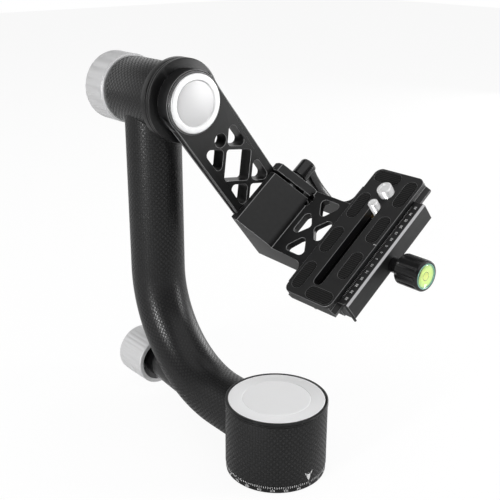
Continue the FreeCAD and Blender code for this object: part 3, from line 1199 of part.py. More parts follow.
# Every object is checked before the files are written
os.makedirs("parts", exist_ok=True)
faults = []
for item in doc.Objects:
    if "Invalid" in item.State or "Error" in item.State:
        faults.append("%s: %s" % (item.Name, ", ".join(item.State)))
for piece in pieces:
    if piece.Shape.isNull() or not piece.Shape.isValid():
        faults.append("%s: no valid shape" % piece.Label)
if faults:
    raise RuntimeError("; ".join(faults))
for piece in pieces:
    piece.Shape.exportStep(os.path.join("parts", piece.Label + ".step"))
    box = piece.Shape.BoundBox
    print("%-24s solids %2d  volume %9.1f  x %7.2f %7.2f  y %7.2f %7.2f  z %7.2f %7.2f" % (
        piece.Label, len(piece.Shape.Solids), piece.Shape.Volume, box.XMin, box.XMax, box.YMin, box.YMax,
        box.ZMin, box.ZMax))
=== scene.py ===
"""Looks of a gimbal tripod head: pan base, bent carbon tube, tilt head, swing arm and lens clamp."""
import logging
import math
from dataclasses import dataclass, field
from enum import Enum
from typing import Callable, Iterator, Optional, Sequence

import bmesh
import bpy
from mathutils import Matrix, Vector


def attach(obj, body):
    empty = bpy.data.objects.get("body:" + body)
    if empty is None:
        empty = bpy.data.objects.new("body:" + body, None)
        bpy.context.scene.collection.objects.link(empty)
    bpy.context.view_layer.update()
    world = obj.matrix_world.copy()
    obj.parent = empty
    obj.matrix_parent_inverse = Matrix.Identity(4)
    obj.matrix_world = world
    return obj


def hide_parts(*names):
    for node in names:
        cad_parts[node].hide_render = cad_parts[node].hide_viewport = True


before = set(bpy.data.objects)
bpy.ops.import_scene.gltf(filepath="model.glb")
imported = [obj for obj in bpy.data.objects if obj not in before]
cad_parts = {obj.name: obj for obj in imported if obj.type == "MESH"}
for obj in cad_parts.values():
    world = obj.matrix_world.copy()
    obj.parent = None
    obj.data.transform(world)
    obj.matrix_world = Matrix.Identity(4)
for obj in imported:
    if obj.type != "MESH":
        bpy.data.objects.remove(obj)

log = logging.getLogger("gimbal_head")

Triple = tuple[float, float, float]
Profile = Sequence[tuple[float, float]]
Grip = Callable[[float, float, float], float]
Feeds = dict[object, object]

MM = 0.001
FULL_TURN = 2 * math.pi
TILT_HEIGHT = 206.6
TUBE_HEIGHT = 22.4
ARM_ANGLE = math.radians(37.7)
TO_ROW = Matrix.Scale(MM, 4)
TO_ARM = Matrix.Translation((0, 0, TILT_HEIGHT * MM)) @ Matrix.Rotation(ARM_ANGLE, 4, "X") @ TO_ROW

# Smallest angle of a sharp edge in degrees, on made pieces and on refined copies
SHARP = 32.0
SHARP_REFINED = 50.0
# Roughness of a metal varies by this much to either side and never falls under the floor
ROUGH_SPREAD = 0.07
ROUGH_FLOOR = 0.03
WHITE = (1.0, 1.0, 1.0, 1.0)


class Slot(Enum):
    """Material slots of the record, passed with each piece but not read here."""

    BLACK = "black_metal"
    SILVER = "silver_metal"
    CARBON = "carbon"
    STEEL = "steel"
    BRIGHT = "bright_steel"
    NYLON = "nylon"
    RUBBER = "rubber"
    FLUID = "fluid"


class Marks(Enum):
    """How the surface of a metal was worked, with the scale of its grain or rings."""

    BLASTED = 2600.0
    TURNED = 5000.0
    MOULDED = 900.0


# Node trees


class TreeParts:
    """Adds nodes to one tree and wires them."""

    def __init__(self, tree: bpy.types.NodeTree) -> None:
        """Keep the tree that nodes are added to."""
        self.tree = tree

    def node(self, kind: str, feeds: Optional[Feeds] = None, **values: object) -> bpy.types.Node:
        """Add a node, set its properties and feed its inputs.

        Args:
            kind: Node type name.
            feeds: Sockets or values by the label or place of the input.
            values: Properties of the node.

        Returns:
            The new node.
        """
        made = self.tree.nodes.new(kind)
        for key, value in values.items():
            setattr(made, key, value)
        self.fill(made, feeds or {})
        return made

    def fill(self, made: bpy.types.Node, feeds: Feeds) -> None:
        """Link sockets into a node's inputs, or set their values.

        Args:
            made: The node.
            feeds: Sockets or values by the label or place of the input.
        """
        for place, item in feeds.items():
            if isinstance(item, bpy.types.NodeSocket):
                self.tree.links.new(item, made.inputs[place])
            else:
                made.inputs[place].default_value = item

    def math(self, operation: str, *inputs: object) -> bpy.types.NodeSocket:
        """Output of a math node fed by sockets or numbers."""
        return self.node("ShaderNodeMath", dict(enumerate(inputs)), operation=operation).outputs[0]

    def times(self, first: object, second: object) -> bpy.types.NodeSocket:
        """Product of two sockets or numbers."""
        return self.math("MULTIPLY", first, second)

    def plus(self, first: object, second: object) -> bpy.types.NodeSocket:
        """Sum of two sockets or numbers."""
        return self.math("ADD", first, second)

    def blend(self, share: object, low: object, high: object, **values: object) -> bpy.types.NodeSocket:
        """Blend of two colours by a share."""
        return self.node("ShaderNodeMix", {0: share, 6: low, 7: high}, data_type="RGBA", **values).outputs[2]

    def remap(self, value: object, to: Sequence[float], since: Sequence[float] = (0.0, 1.0),
              **values: object) -> bpy.types.NodeSocket:
        """A value moved from one range to another."""
        feeds = {"Value": value, "From Min": since[0], "From Max": since[1], "To Min": to[0], "To Max": to[1]}
        return self.node("ShaderNodeMapRange", feeds, **values).outputs[0]

    def noise(self, feeds: Feeds, **values: object) -> bpy.types.NodeSocket:
        """Height of a noise texture."""
        return self.node("ShaderNodeTexNoise", feeds, **values).outputs[0]

    def coords(self, centre: Optional[Triple] = None) -> bpy.types.NodeSocket:
        """Object coordinates, counted from a centre if there is one."""
        plain = self.node("ShaderNodeTexCoord").outputs["Object"]
        if centre is None:
            return plain
        back = tuple(-value for value in centre)
        return self.node("ShaderNodeMapping", {"Location": back, "Vector": plain}).outputs[0]

    def group(self, tree: bpy.types.NodeTree, feeds: Feeds) -> bpy.types.NodeOutputs:
        """Outputs of a shared group."""
        return self.node("ShaderNodeGroup", feeds, node_tree=tree).outputs

    def bump(self, shader: bpy.types.Node, height: bpy.types.NodeSocket, strength: float,
             depth: float) -> None:
        """Feed a height into the shader's normal.

        Args:
            shader: Shader node.
            height: Height socket.
            strength: Strength of the bump.
            depth: Real depth of the relief in metres.
        """
        made = self.node("ShaderNodeBump", {"Height": height, "Strength": strength, "Distance": depth})
        self.fill(shader, {"Normal": made.outputs[0]})


def fresh_tree(owner: bpy.types.ID) -> TreeParts:
    """Give a material or world an empty node tree."""
    owner.use_nodes = True
    owner.node_tree.nodes.clear()
    return TreeParts(owner.node_tree)


class SharedGroups:
    """Node groups that more than one finish uses, each built once."""

    def __init__(self) -> None:
        """Build every group."""
        self.grain = self._grain()
        self.turning = self._turning()
        self.weave = self._weave()
        self.wear = self._wear()

    @staticmethod
    def _new(name: str, inputs: dict[str, Optional[float]],
             *outputs: str) -> tuple[TreeParts, bpy.types.NodeOutputs, bpy.types.Node]:
        """Start a group with named sockets.

        Args:
            name: Name of the group.
            inputs: Default of each number, None for a vector.
            outputs: Names of the numbers that it gives.

        Returns:
            The wiring helper, what comes in and the node that everything ends in.
        """
        tree = bpy.data.node_groups.new(name, "ShaderNodeTree")
        for label, value in inputs.items():
            kind = "NodeSocketVector" if value is None else "NodeSocketFloat"
            socket = tree.interface.new_socket(label, in_out="INPUT", socket_type=kind)
            if value is not None:
                socket.default_value = value
        for label in outputs:
            tree.interface.new_socket(label, in_out="OUTPUT", socket_type="NodeSocketFloat")
        parts = TreeParts(tree)
        return parts, parts.node("NodeGroupInput").outputs, parts.node("NodeGroupOutput")

    def _grain(self) -> bpy.types.NodeTree:
        """Fine blasted grain with a slow cloud of tone."""
        inputs = {"Vector": None, "Scale": 3000.0, "Cloud": 40.0}
        parts, start, end = self._new("BlastedGrain", inputs, "Height", "Tone")
        fine = parts.noise({"Vector": start["Vector"], "Scale": start["Scale"], "Detail": 2.0})
        cloud = parts.noise({"Vector": start["Vector"], "Scale": start["Cloud"], "Detail": 3.0})
        parts.fill(end, {"Height": fine, "Tone": parts.plus(parts.times(fine, 0.5), parts.times(cloud, 0.5))})
        return parts.tree

    def _turning(self) -> bpy.types.NodeTree:
        """Rings left by a lathe, from a distance that the material gives."""
        inputs = {"Distance": 0.0, "Rings": Marks.TURNED.value}
        parts, start, end = self._new("TurningRings", inputs, "Height", "Tone")
        feeds = {"W": start["Distance"], "Scale": start["Rings"], "Detail": 4.0}
        rings = parts.noise(feeds, noise_dimensions="1D")
        parts.fill(end, {"Height": rings, "Tone": rings})
        return parts.tree

    def _weave(self) -> bpy.types.NodeTree:
        """Plain weave of flat tows on a map in metres."""
        inputs = {"Vector": None, "Tows": 600.0}
        parts, start, end = self._new("CarbonWeave", inputs, "Warp", "Height", "Fibre")
        split = parts.node("ShaderNodeSeparateXYZ", {0: start["Vector"]}).outputs
        sides = [parts.times(split[place], start["Tows"]) for place in (0, 1)]
        cells = parts.plus(*(parts.math("FLOOR", side) for side in sides))
        warp = parts.math("ABSOLUTE", parts.math("MODULO", cells, 2.0))
        flip = parts.math("SUBTRACT", 1.0, warp)
        swell = [parts.math("SINE", parts.times(parts.math("FRACT", side), math.pi)) for side in sides]
        steep, blunt, thin = 0.6, 0.35, 9.0
        over, under = (parts.times(parts.math("POWER", first, steep), parts.math("POWER", second, blunt))
                       for first, second in (swell, swell[::-1]))
        height = parts.plus(parts.times(over, warp), parts.times(under, flip))
        stretched = [parts.times(side, parts.plus(1.0, parts.times(stretch, thin)))
                     for side, stretch in zip(sides, (warp, flip))]
        combine = parts.node("ShaderNodeCombineXYZ", dict(enumerate(stretched)))
        threads = parts.noise({"Vector": combine.outputs[0], "Scale": 1.0})
        parts.fill(end, {"Warp": warp, "Height": height, "Fibre": threads})
        return parts.tree

    def _wear(self) -> bpy.types.NodeTree:
        """Thin bright rub marks where edges have been handled."""
        parts, start, end = self._new("EdgeWear", {"Vector": None, "Amount": 0.2}, "Mask")
        pointed = parts.node("ShaderNodeNewGeometry").outputs["Pointiness"]
        edge = parts.remap(pointed, (0.0, 1.0), (0.52, 0.62))
        broken = parts.times(edge, parts.noise({"Vector": start["Vector"], "Scale": 350.0, "Detail": 4.0}))
        parts.fill(end, {"Mask": parts.times(broken, start["Amount"])})
        return parts.tree


# Finishes


def scaled(colour: Triple, factor: float) -> tuple[float, ...]:
    """A colour made darker or lighter, with its alpha."""
    return tuple(min(1.0, value * factor) for value in colour) + (1.0,)


@dataclass(frozen=True)
class Finish:
    """A finish that becomes one material."""

    name: str

    def build(self, shared: SharedGroups) -> bpy.types.Material:
        """Make the material.

        Args:
            shared: Node groups used by several finishes.

        Returns:
            The finished material.
        """
        material = bpy.data.materials.new(self.name)
        parts = fresh_tree(material)
        shader = parts.node("ShaderNodeBsdfPrincipled")
        parts.node("ShaderNodeOutputMaterial", {0: shader.outputs[0]})
        self.wire(parts, shader, shared)
        return material

    def wire(self, parts: TreeParts, shader: bpy.types.Node, shared: SharedGroups) -> None:
        """Feed the shader.

        Args:
            parts: Tree that is being wired.
            shader: Shader node.
            shared: Node groups used by several finishes.
        """
        raise NotImplementedError


@dataclass(frozen=True)
class Metal(Finish):
    """A worked and anodised or plated metal surface."""

    colour: Triple
    rough: float = 0.4
    metallic: float = 1.0
    marks: Marks = Marks.BLASTED
    bump: float = 0.1
    depth: float = 0.00002
    tone: float = 0.15
    coat: float = 0.0
    coat_rough: float = 0.12
    wear: float = 0.15
    worn: Triple = (0.55, 0.55, 0.56)
    specular: float = 0.5
    turn_axis: str = "X"
    centre: Triple = (0.0, 0.0, TILT_HEIGHT * MM)

    def wire(self, parts: TreeParts, shader: bpy.types.Node, shared: SharedGroups) -> None:
        """Feed the shader from the marks of the tool and the worn edges."""
        coords = parts.coords()
        if self.marks is Marks.TURNED:
            marks = parts.group(shared.turning, {"Distance": self._distance(parts)})
        else:
            marks = parts.group(shared.grain, {"Vector": coords, "Scale": self.marks.value})
        shade = parts.blend(marks["Tone"], scaled(self.colour, 1.0 - self.tone),
                            scaled(self.colour, 1.0 + self.tone))
        mask = parts.group(shared.wear, {"Vector": coords, "Amount": self.wear})["Mask"]
        rough = (max(ROUGH_FLOOR, self.rough - ROUGH_SPREAD), self.rough + ROUGH_SPREAD)
        parts.fill(shader, {
            "Base Color": parts.blend(mask, shade, scaled(self.worn, 1.0)),
            "Roughness": parts.remap(marks["Tone"], rough),
            "Metallic": self.metallic, "Specular IOR Level": self.specular,
            "Coat Weight": self.coat, "Coat Roughness": self.coat_rough})
        parts.bump(shader, marks["Height"], self.bump, self.depth)

    def _distance(self, parts: TreeParts) -> bpy.types.NodeSocket:
        """Distance from the turning axis plus the place along it."""
        split = parts.node("ShaderNodeSeparateXYZ", {0: parts.coords(self.centre)}).outputs
        first, second, along = (split[index] for index in {"X": (1, 2, 0), "Z": (0, 1, 2)}[self.turn_axis])
        square = parts.plus(parts.times(first, first), parts.times(second, second))
        return parts.plus(parts.math("SQRT", square), along)


@dataclass(frozen=True)
class Carbon(Finish):
    """Clear-coated carbon cloth on a piece's own map."""

    tow: float = 1.7 * MM
    dark: float = 0.003
    light: float = 0.019
    rough: float = 0.36
    specular: float = 0.28
    coat: float = 0.1
    coat_rough: float = 0.3
    bump: float = 0.35
    depth: float = 0.00012

    def wire(self, parts: TreeParts, shader: bpy.types.Node, shared: SharedGroups) -> None:
        """Feed the shader from the weave, with the warp lighter and glossier than the weft."""
        mapped = parts.node("ShaderNodeUVMap", uv_map="cloth").outputs[0]
        weave = parts.group(shared.weave, {"Vector": mapped, "Tows": 1.0 / self.tow})
        lift = parts.times(weave["Height"], parts.plus(0.35, parts.times(weave["Warp"], 0.65)))
        streak = parts.times(lift, parts.plus(0.7, parts.times(weave["Fibre"], 0.6)))
        parts.fill(shader, {
            "Base Color": parts.blend(streak, (self.dark, self.dark, self.dark * 1.04, 1.0),
                                      (self.light, self.light, self.light * 1.03, 1.0)),
            "Roughness": parts.remap(weave["Warp"], (self.rough + 0.16, self.rough - 0.12)),
            "Metallic": 0.0, "Specular IOR Level": self.specular,
            "Coat Weight": self.coat, "Coat Roughness": self.coat_rough})
        parts.bump(shader, weave["Height"], self.bump, self.depth)


@dataclass(frozen=True)
class Rubber(Finish):
    """Dull moulded rubber."""

    colour: Triple = (0.003, 0.003, 0.003)
    grain: float = 1500.0
    specular: float = 0.22
    bump: float = 0.3
    depth: float = 0.00003

    def wire(self, parts: TreeParts, shader: bpy.types.Node, shared: SharedGroups) -> None:
        """Feed the shader from a fine grain."""
        grain = parts.group(shared.grain, {"Vector": parts.coords(), "Scale": self.grain})
        parts.fill(shader, {
            "Base Color": parts.blend(grain["Tone"], scaled(self.colour, 0.7), scaled(self.colour, 1.4)),
            "Roughness": parts.plus(0.55, parts.times(grain["Tone"], 0.3)),
            "Specular IOR Level": self.specular})
        parts.bump(shader, grain["Height"], self.bump, self.depth)


@dataclass(frozen=True)
class Paint(Finish):
    """Thin matt paint or laser marking."""

    colour: Triple = (0.86, 0.86, 0.86)
    rough: float = 0.6

    def wire(self, parts: TreeParts, shader: bpy.types.Node, shared: SharedGroups) -> None:
        """Feed the shader from a slightly cloudy tone."""
        tone = parts.group(shared.grain, {"Vector": parts.coords()})["Tone"]
        shade = parts.blend(tone, scaled(self.colour, 0.88), scaled(self.colour, 1.0))
        parts.fill(shader, {"Base Color": shade, "Roughness": self.rough})


@dataclass(frozen=True)
class LevelFluid(Finish):
    """Fluid under the clear face of the spirit level, lit up by a painted glow."""

    centre: Triple
    radius: float
    painted_glow: float = 0.45
    stops: tuple[tuple[float, Triple], ...] = (
        (0.25, (0.82, 0.93, 0.22)), (1.0, (0.18, 0.45, 0.26)), (0.8, (0.62, 0.86, 0.24)))

    def wire(self, parts: TreeParts, shader: bpy.types.Node, shared: SharedGroups) -> None:
        """Feed the shader from the distance to the middle of the vial."""
        place = parts.coords(self.centre)
        length = parts.node("ShaderNodeVectorMath", {0: place}, operation="LENGTH").outputs["Value"]
        ramp = parts.node("ShaderNodeValToRGB", {0: parts.math("DIVIDE", length, self.radius)})
        elements = ramp.color_ramp.elements
        for index, (position, colour) in enumerate(self.stops):
            if index == len(elements):
                elements.new(position).color = scaled(colour, 1.0)
            else:
                elements[index].position = position
                elements[index].color = scaled(colour, 1.0)
        cloud = parts.node("ShaderNodeTexNoise", {"Vector": parts.coords(), "Scale": 300.0}).outputs[1]
        shade = parts.blend(0.15, ramp.outputs[0], cloud, blend_type="MULTIPLY")
        # Emission in the fluid's own colour: a painted glow, not a lamp.
        parts.fill(shader, {"Base Color": shade, "Emission Color": shade, "Emission Strength": self.painted_glow,
                            "Roughness": 0.15, "Coat Weight": 1.0, "Coat Roughness": 0.03})


@dataclass(frozen=True)
class ClearGlass(Finish):
    """Clear moulded dome of the spirit level."""

    colour: Triple = (0.97, 1.0, 0.96)
    bend: float = 1.45

    def wire(self, parts: TreeParts, shader: bpy.types.Node, shared: SharedGroups) -> None:
        """Feed the shader with a barely uneven gloss."""
        tone = parts.group(shared.grain, {"Vector": parts.coords(), "Scale": 400.0})["Tone"]
        parts.fill(shader, {"Roughness": parts.times(tone, 0.06), "Base Color": scaled(self.colour, 1.0),
                            "Transmission Weight": 1.0, "IOR": self.bend})


@dataclass
class Palette:
    """Every material of the head, built once."""

    shared: SharedGroups = field(default_factory=SharedGroups)
    made: dict[str, bpy.types.Material] = field(default_factory=dict)

    def __post_init__(self) -> None:
        """Build the materials by name."""
        for finish in self._finishes():
            self.made[finish.name] = finish.build(self.shared)

    def __getitem__(self, name: str) -> bpy.types.Material:
        """Material by name."""
        return self.made[name]

    @staticmethod
    def _finishes() -> list[Finish]:
        """The finishes in the order in which they are built."""
        black = {"metallic": 0.0, "wear": 0.05, "specular": 0.36}
        turned = {"rough": 0.30, "marks": Marks.TURNED, "bump": 0.05, "tone": 0.1} | black
        silver = {"marks": Marks.TURNED, "wear": 0.0, "metallic": 0.3}
        upright = {"turn_axis": "Z", "centre": (0.0, 0.0, 0.0)}
        vial = tuple(TO_ARM @ Vector((48.3, 0.0, -110.4)))
        return [
            Metal("black_anodised", (0.006, 0.006, 0.0063), rough=0.38, bump=0.12, **black),
            Metal("black_plate", (0.009, 0.009, 0.0093), rough=0.42, bump=0.12, **black | {"specular": 0.4}),
            # Light grey for the rounded cut edges of the black parts: a painted highlight along each edge.
            Metal("black_edge", (0.22, 0.22, 0.222), rough=0.30, metallic=0.4, bump=0.02, wear=0.0),
            Metal("black_turned", (0.005, 0.005, 0.0053), **turned),
            Metal("black_turned_pan", (0.005, 0.005, 0.0053), **turned, **upright),
            Metal("black_gloss", (0.004, 0.004, 0.0043), rough=0.24, bump=0.04, coat=0.25, **black),
            # One silver anodising in several shades, each set to how bright its part looks under the lights:
            # the pan cap and the hub dish are painted lighter and the tilt knob painted darker, as painted
            # light and shade.
            Metal("silver_bright", (0.86, 0.86, 0.865), rough=0.42, bump=0.03, tone=0.03,
                  **silver | {"metallic": 0.6}),
            Metal("silver_face", (0.76, 0.76, 0.765), rough=0.46, bump=0.04, tone=0.04, **silver),
            Metal("silver_grip", (0.60, 0.60, 0.605), rough=0.5, bump=0.03, tone=0.05, **silver),
            Metal("silver_pan", (0.95, 0.95, 0.955), rough=0.46, bump=0.04, tone=0.04, **silver, **upright),
            Metal("silver_lock", (0.72, 0.72, 0.725), rough=0.48, bump=0.04, tone=0.05,
                  centre=(0.0, 0.0, TUBE_HEIGHT * MM), **silver | {"metallic": 0.4}),
            Metal("ground_steel", (0.5, 0.5, 0.51), rough=0.3, bump=0.05, wear=0.0),
            Metal("plated_steel", (0.95, 0.95, 0.955), rough=0.28, metallic=0.35, bump=0.02, wear=0.0),
            Metal("bronze", (0.5, 0.33, 0.13), rough=0.3, bump=0.05, wear=0.0),
            Metal("nylon", (0.03, 0.03, 0.03), rough=0.6, metallic=0.0, marks=Marks.MOULDED, bump=0.15),
            Metal("level_rim", (0.30, 0.62, 0.50), rough=0.2, metallic=0.2, bump=0.02, wear=0.0, coat=0.6),
            Carbon("carbon_cloth"),
            Rubber("pad_rubber"),
            Rubber("pad_ribs", (0.016, 0.016, 0.016)),
            Paint("white_marking"),
            LevelFluid("level_fluid", vial, 7.2 * MM),
            ClearGlass("level_glass"),
        ]


# Mesh makers


def softened(points: Profile, radius: float, steps: int = 3,
             closed: bool = True) -> list[tuple[float, float]]:
    """Round the corners of a profile, each over less than half of its sides.

    Args:
        points: Corners in order.
        radius: Largest rounding radius.
        steps: Chords in each rounding.
        closed: True for a loop.

    Returns:
        The rounded profile.
    """
    out: list[tuple[float, float]] = []
    count = len(points)
    flat, folded, most = math.radians(172), math.radians(4), 0.45
    for index, point in enumerate(points):
        here = Vector(point)
        if not closed and index in (0, count - 1):
            out.append(tuple(here))
            continue
        before = Vector(points[index - 1]) - here
        after = Vector(points[(index + 1) % count]) - here
        if min(before.length, after.length) < 1e-6:
            continue
        bend = before.angle(after)
        if bend > flat or bend < folded:
            out.append(tuple(here))
            continue
        reach = min(radius / math.tan(bend / 2), before.length * most, after.length * most)
        first = here + before.normalized() * reach
        last = here + after.normalized() * reach
        for step in range(steps + 1):
            share = step / steps
            out.append(tuple(first.lerp(here, share).lerp(here.lerp(last, share), share)))
    return out


def mesh_of(work: bmesh.types.BMesh, name: str) -> bpy.types.Mesh:
    """Mesh of the worked geometry, which is freed."""
    mesh = bpy.data.meshes.new(name)
    work.to_mesh(mesh)
    work.free()
    return mesh


def linked(name: str, data: bpy.types.ID) -> bpy.types.Object:
    """New object in the scene."""
    made = bpy.data.objects.new(name, data)
    bpy.context.scene.collection.objects.link(made)
    return made


def evaluated(carrier: bpy.types.Object) -> bpy.types.Mesh:
    """Plain mesh of what an object's modifiers or curve give."""
    bpy.context.view_layer.update()
    graph = bpy.context.evaluated_depsgraph_get()
    return bpy.data.meshes.new_from_object(carrier.evaluated_get(graph), depsgraph=graph)


def finish_mesh(name: str, mesh: bpy.types.Mesh, materials: Sequence[bpy.types.Material],
                angle: float = SHARP) -> bpy.types.Object:
    """Make an object of a mesh with smooth faces and sharp edges by angle.

    Args:
        name: Name of the piece.
        mesh: Its mesh, in metres.
        materials: Materials by slot.
        angle: Smallest angle of a sharp edge in degrees.

    Returns:
        The object.
    """
    mesh.name = name
    for material in materials:
        mesh.materials.append(material)
    mesh.shade_smooth()
    mesh.set_sharp_from_angle(angle=math.radians(angle))
    return linked(name, mesh)


def quilt(work: bmesh.types.BMesh, rings: Sequence[Sequence[bmesh.types.BMVert]], wrap: tuple[bool, bool],
          spot: Callable[[int, int], tuple[float, float]], cloth: bmesh.types.BMLayerItem) -> None:
    """Span faces between rings of corners and map the cloth onto them.

    Args:
        work: Geometry that is being worked.
        rings: Rings with as many corners each.
        wrap: Whether the last ring meets the first, and the last corner the first.
        spot: Place on the cloth in metres of a ring and corner number.
        cloth: Layer of the map.
    """
    rows, columns = len(rings), len(rings[0])
    for row in range(rows - (not wrap[0])):
        near, far = rings[row], rings[(row + 1) % rows]
        for column in range(columns - (not wrap[1])):
            other = (column + 1) % columns
            if near[column].co == far[column].co and near[other].co == far[other].co:
                continue
            face = work.faces.new((near[column], far[column], far[other], near[other]))
            for loop, (down, across) in zip(face.loops, ((0, 0), (1, 0), (1, 1), (0, 1))):
                loop[cloth].uv = spot(row + down, column + across)


def turned_mesh(profile: Profile, segments: int = 160, closed: bool = True, grip: Optional[Grip] = None,
                matrix: Matrix = TO_ROW) -> bpy.types.Mesh:
    """Turn a profile of radius and height about Z, then place it.

    Args:
        profile: Radius and height of each corner.
        segments: Number of steps round.
        closed: True where the profile is a loop that never meets the axis.
        grip: Radius as a function of radius, height and angle.
        matrix: Place of the piece in the row frame.

    Returns:
        A closed mesh with faces outwards and a cloth map in metres.
    """
    weld, thinnest = 1e-5, 1e-6
    work = bmesh.new()
    cloth = work.loops.layers.uv.new("cloth")
    rings: list[list[bmesh.types.BMVert]] = []
    for step in range(segments):
        turn = FULL_TURN * step / segments
        ring = []
        for radius, height in profile:
            reach = grip(radius, height, turn) if grip and radius > 0 else radius
            ring.append(work.verts.new((reach * math.cos(turn), reach * math.sin(turn), height)))
        rings.append(ring)
    lengths = [0.0]
    for index in range(1, len(profile) + 1):
        side = Vector(profile[index % len(profile)]) - Vector(profile[index - 1])
        lengths.append(lengths[-1] + side.length)
    girth = FULL_TURN * max(radius for radius, _ in profile)
    quilt(work, rings, (True, closed),
          lambda row, column: (girth * row / segments * MM, lengths[column] * MM), cloth)
    bmesh.ops.remove_doubles(work, verts=work.verts, dist=weld)
    bmesh.ops.dissolve_degenerate(work, edges=work.edges, dist=thinnest)
    work.transform(matrix)
    bmesh.ops.recalc_face_normals(work, faces=work.faces)
    return mesh_of(work, "turned")


def prism(name: str, low: Sequence[Triple], high: Sequence[Triple], matrix: Matrix,
          bevel: float = 0.0) -> bpy.types.Mesh:
    """A closed body between two outlines.

    Args:
        name: Name of the mesh.
        low: Corners of one outline in millimetres.
        high: Corners of the other, as many.
        matrix: Place of the body in the row frame.
        bevel: Rounding of both outlines' edges.

    Returns:
        The mesh in metres.
    """
    work = bmesh.new()
    rows = [[work.verts.new(spot) for spot in outline] for outline in (low, high)]
    rims = []
    for row in rows:
        rims += work.faces.new(row).edges
    for index in range(len(low)):
        other = (index + 1) % len(low)
        work.faces.new((rows[0][index], rows[0][other], rows[1][other], rows[1][index]))
    bmesh.ops.recalc_face_normals(work, faces=work.faces)
    if bevel:
        bmesh.ops.bevel(work, geom=rims, offset=bevel, segments=3, profile=0.5, affect="EDGES")
    work.transform(matrix)
    return mesh_of(work, name)


def block_mesh(low: Sequence[float], high: Sequence[float], bevel: float = 0.0) -> bpy.types.Mesh:
    """A small block in millimetres with softened edges.

    Args:
        low: Lowest corner.
        high: Highest corner.
        bevel: Rounding of its edges.

    Returns:
        The mesh.
    """
    work = bmesh.new()
    bmesh.ops.create_cube(work, size=1.0)
    for vert in work.verts:
        vert.co = Vector([low[i] + (high[i] - low[i]) * (vert.co[i] + 0.5) for i in range(3)])
    if bevel:
        bmesh.ops.bevel(work, geom=list(work.edges), offset=bevel, segments=1, affect="EDGES")
    return mesh_of(work, "block")


def lettering(text: str, size: float, matrix: Matrix, depth: float = 0.03) -> bpy.types.Mesh:
    """Numbers as a thin mesh, centred, in the XY plane before it is placed.

    Args:
        text: What is written.
        size: Height of the letters in millimetres.
        matrix: Place in the row frame.
        depth: Thickness in millimetres.

    Returns:
        The mesh.
    """
    curve = bpy.data.curves.new("lettering", "FONT")
    curve.body = text
    curve.size = size
    curve.align_x = curve.align_y = "CENTER"
    curve.extrude = depth / 2
    curve.resolution_u = 2
    carrier = linked("lettering", curve)
    mesh = evaluated(carrier)
    bpy.data.objects.remove(carrier)
    mesh.transform(matrix)
    return mesh


def joined(name: str, meshes: Sequence[bpy.types.Mesh], material: bpy.types.Material,
           angle: float = SHARP) -> bpy.types.Object:
    """Join meshes to one piece.

    Args:
        name: Name of the piece.
        meshes: Meshes in the row frame.
        material: Material of the piece.
        angle: Smallest angle of a sharp edge in degrees.

    Returns:
        The piece.
    """
    work = bmesh.new()
    for mesh in meshes:
        work.from_mesh(mesh)
        bpy.data.meshes.remove(mesh)
    for face in work.faces:
        face.material_index = 0
    return finish_mesh(name, mesh_of(work, name), [material], angle)


def refined_copy(node: str, name: str, bevel: float, materials: Sequence[bpy.types.Material],
                 rounder: Optional[Callable[[Vector], bool]] = None, radius: float = 0.0) -> bpy.types.Object:
    """Copy a CAD node, clean its flats and round its edges a little.

    Args:
        node: Name of the node.
        name: Name of the piece.
        bevel: Rounding in millimetres.
        materials: Finish of the piece, and that of its cut edges if it differs, a light grey that paints a
            highlight along them.
        rounder: Says of a corner, in the arm's millimetres, whether it ends an edge with a larger rounding.
        radius: That larger rounding in millimetres.

    Returns:
        The piece, still to be made to ride.
    """
    weld, flat, cut = 2e-6, math.radians(0.6), math.radians(30)
    work = bmesh.new()
    work.from_mesh(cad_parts[node].data)
    bmesh.ops.remove_doubles(work, verts=work.verts, dist=weld)
    bmesh.ops.dissolve_limit(work, angle_limit=flat, verts=work.verts, edges=work.edges)
    bmesh.ops.recalc_face_normals(work, faces=work.faces)
    if rounder:
        back = TO_ARM.inverted()
        edges = [edge for edge in work.edges if all(rounder(back @ vert.co) for vert in edge.verts)]
        log.info("%s: %d edges with the larger rounding", name, len(edges))
        bmesh.ops.bevel(work, geom=edges, offset=radius * MM, segments=5, profile=0.5, affect="EDGES")
    piece = finish_mesh(name, mesh_of(work, name), materials, angle=180.0)
    rounding = piece.modifiers.new("rounding", "BEVEL")
    rounding.width = bevel * MM
    rounding.segments = 2
    # The cut edges take the last material, which on the black parts is a painted highlight.
    rounding.material = len(materials) - 1
    rounding.limit_method = "ANGLE"
    rounding.angle_limit = cut
    rounding.use_clamp_overlap = False
    rounding.miter_outer = "MITER_ARC"
    applied(piece)
    piece.data.set_sharp_from_angle(angle=math.radians(SHARP_REFINED))
    flats = piece.modifiers.new("flats", "WEIGHTED_NORMAL")
    flats.mode = "FACE_AREA"
    flats.weight = 90
    flats.keep_sharp = True
    applied(piece)
    return piece


def applied(piece: bpy.types.Object) -> None:
    """Turn a piece's modifiers into plain mesh."""
    mesh, old = evaluated(piece), piece.data
    piece.modifiers.clear()
    piece.data = mesh
    bpy.data.meshes.remove(old)
    mesh.name = piece.name


def fluted(radius: float, count: int, depth: float, width: float, low: float, high: float,
           run_out: float = 1.2) -> Grip:
    """Grip function of a knob: shallow scallops on its outer wall.

    Args:
        radius: Outer radius.
        count: Number of scallops.
        depth: Depth of each.
        width: Share of the pitch that a scallop takes.
        low: Lowest height that is cut.
        high: Highest height that is cut.
        run_out: Length over which a scallop fades at each end.

    Returns:
        A function of radius, height and angle.
    """
    outer_wall = radius * 0.93

    def grip(reach: float, height: float, turn: float) -> float:
        """Radius of the cut knob."""
        if reach < outer_wall or not low < height < high:
            return reach
        fade = min(1.0, (height - low) / run_out, (high - height) / run_out)
        phase = abs((turn * count / FULL_TURN) % 1.0 - 0.5) * 2.0 / width
        if phase >= 1.0:
            return reach
        return reach - fade * depth * math.cos(phase * math.pi / 2) ** 2
    return grip


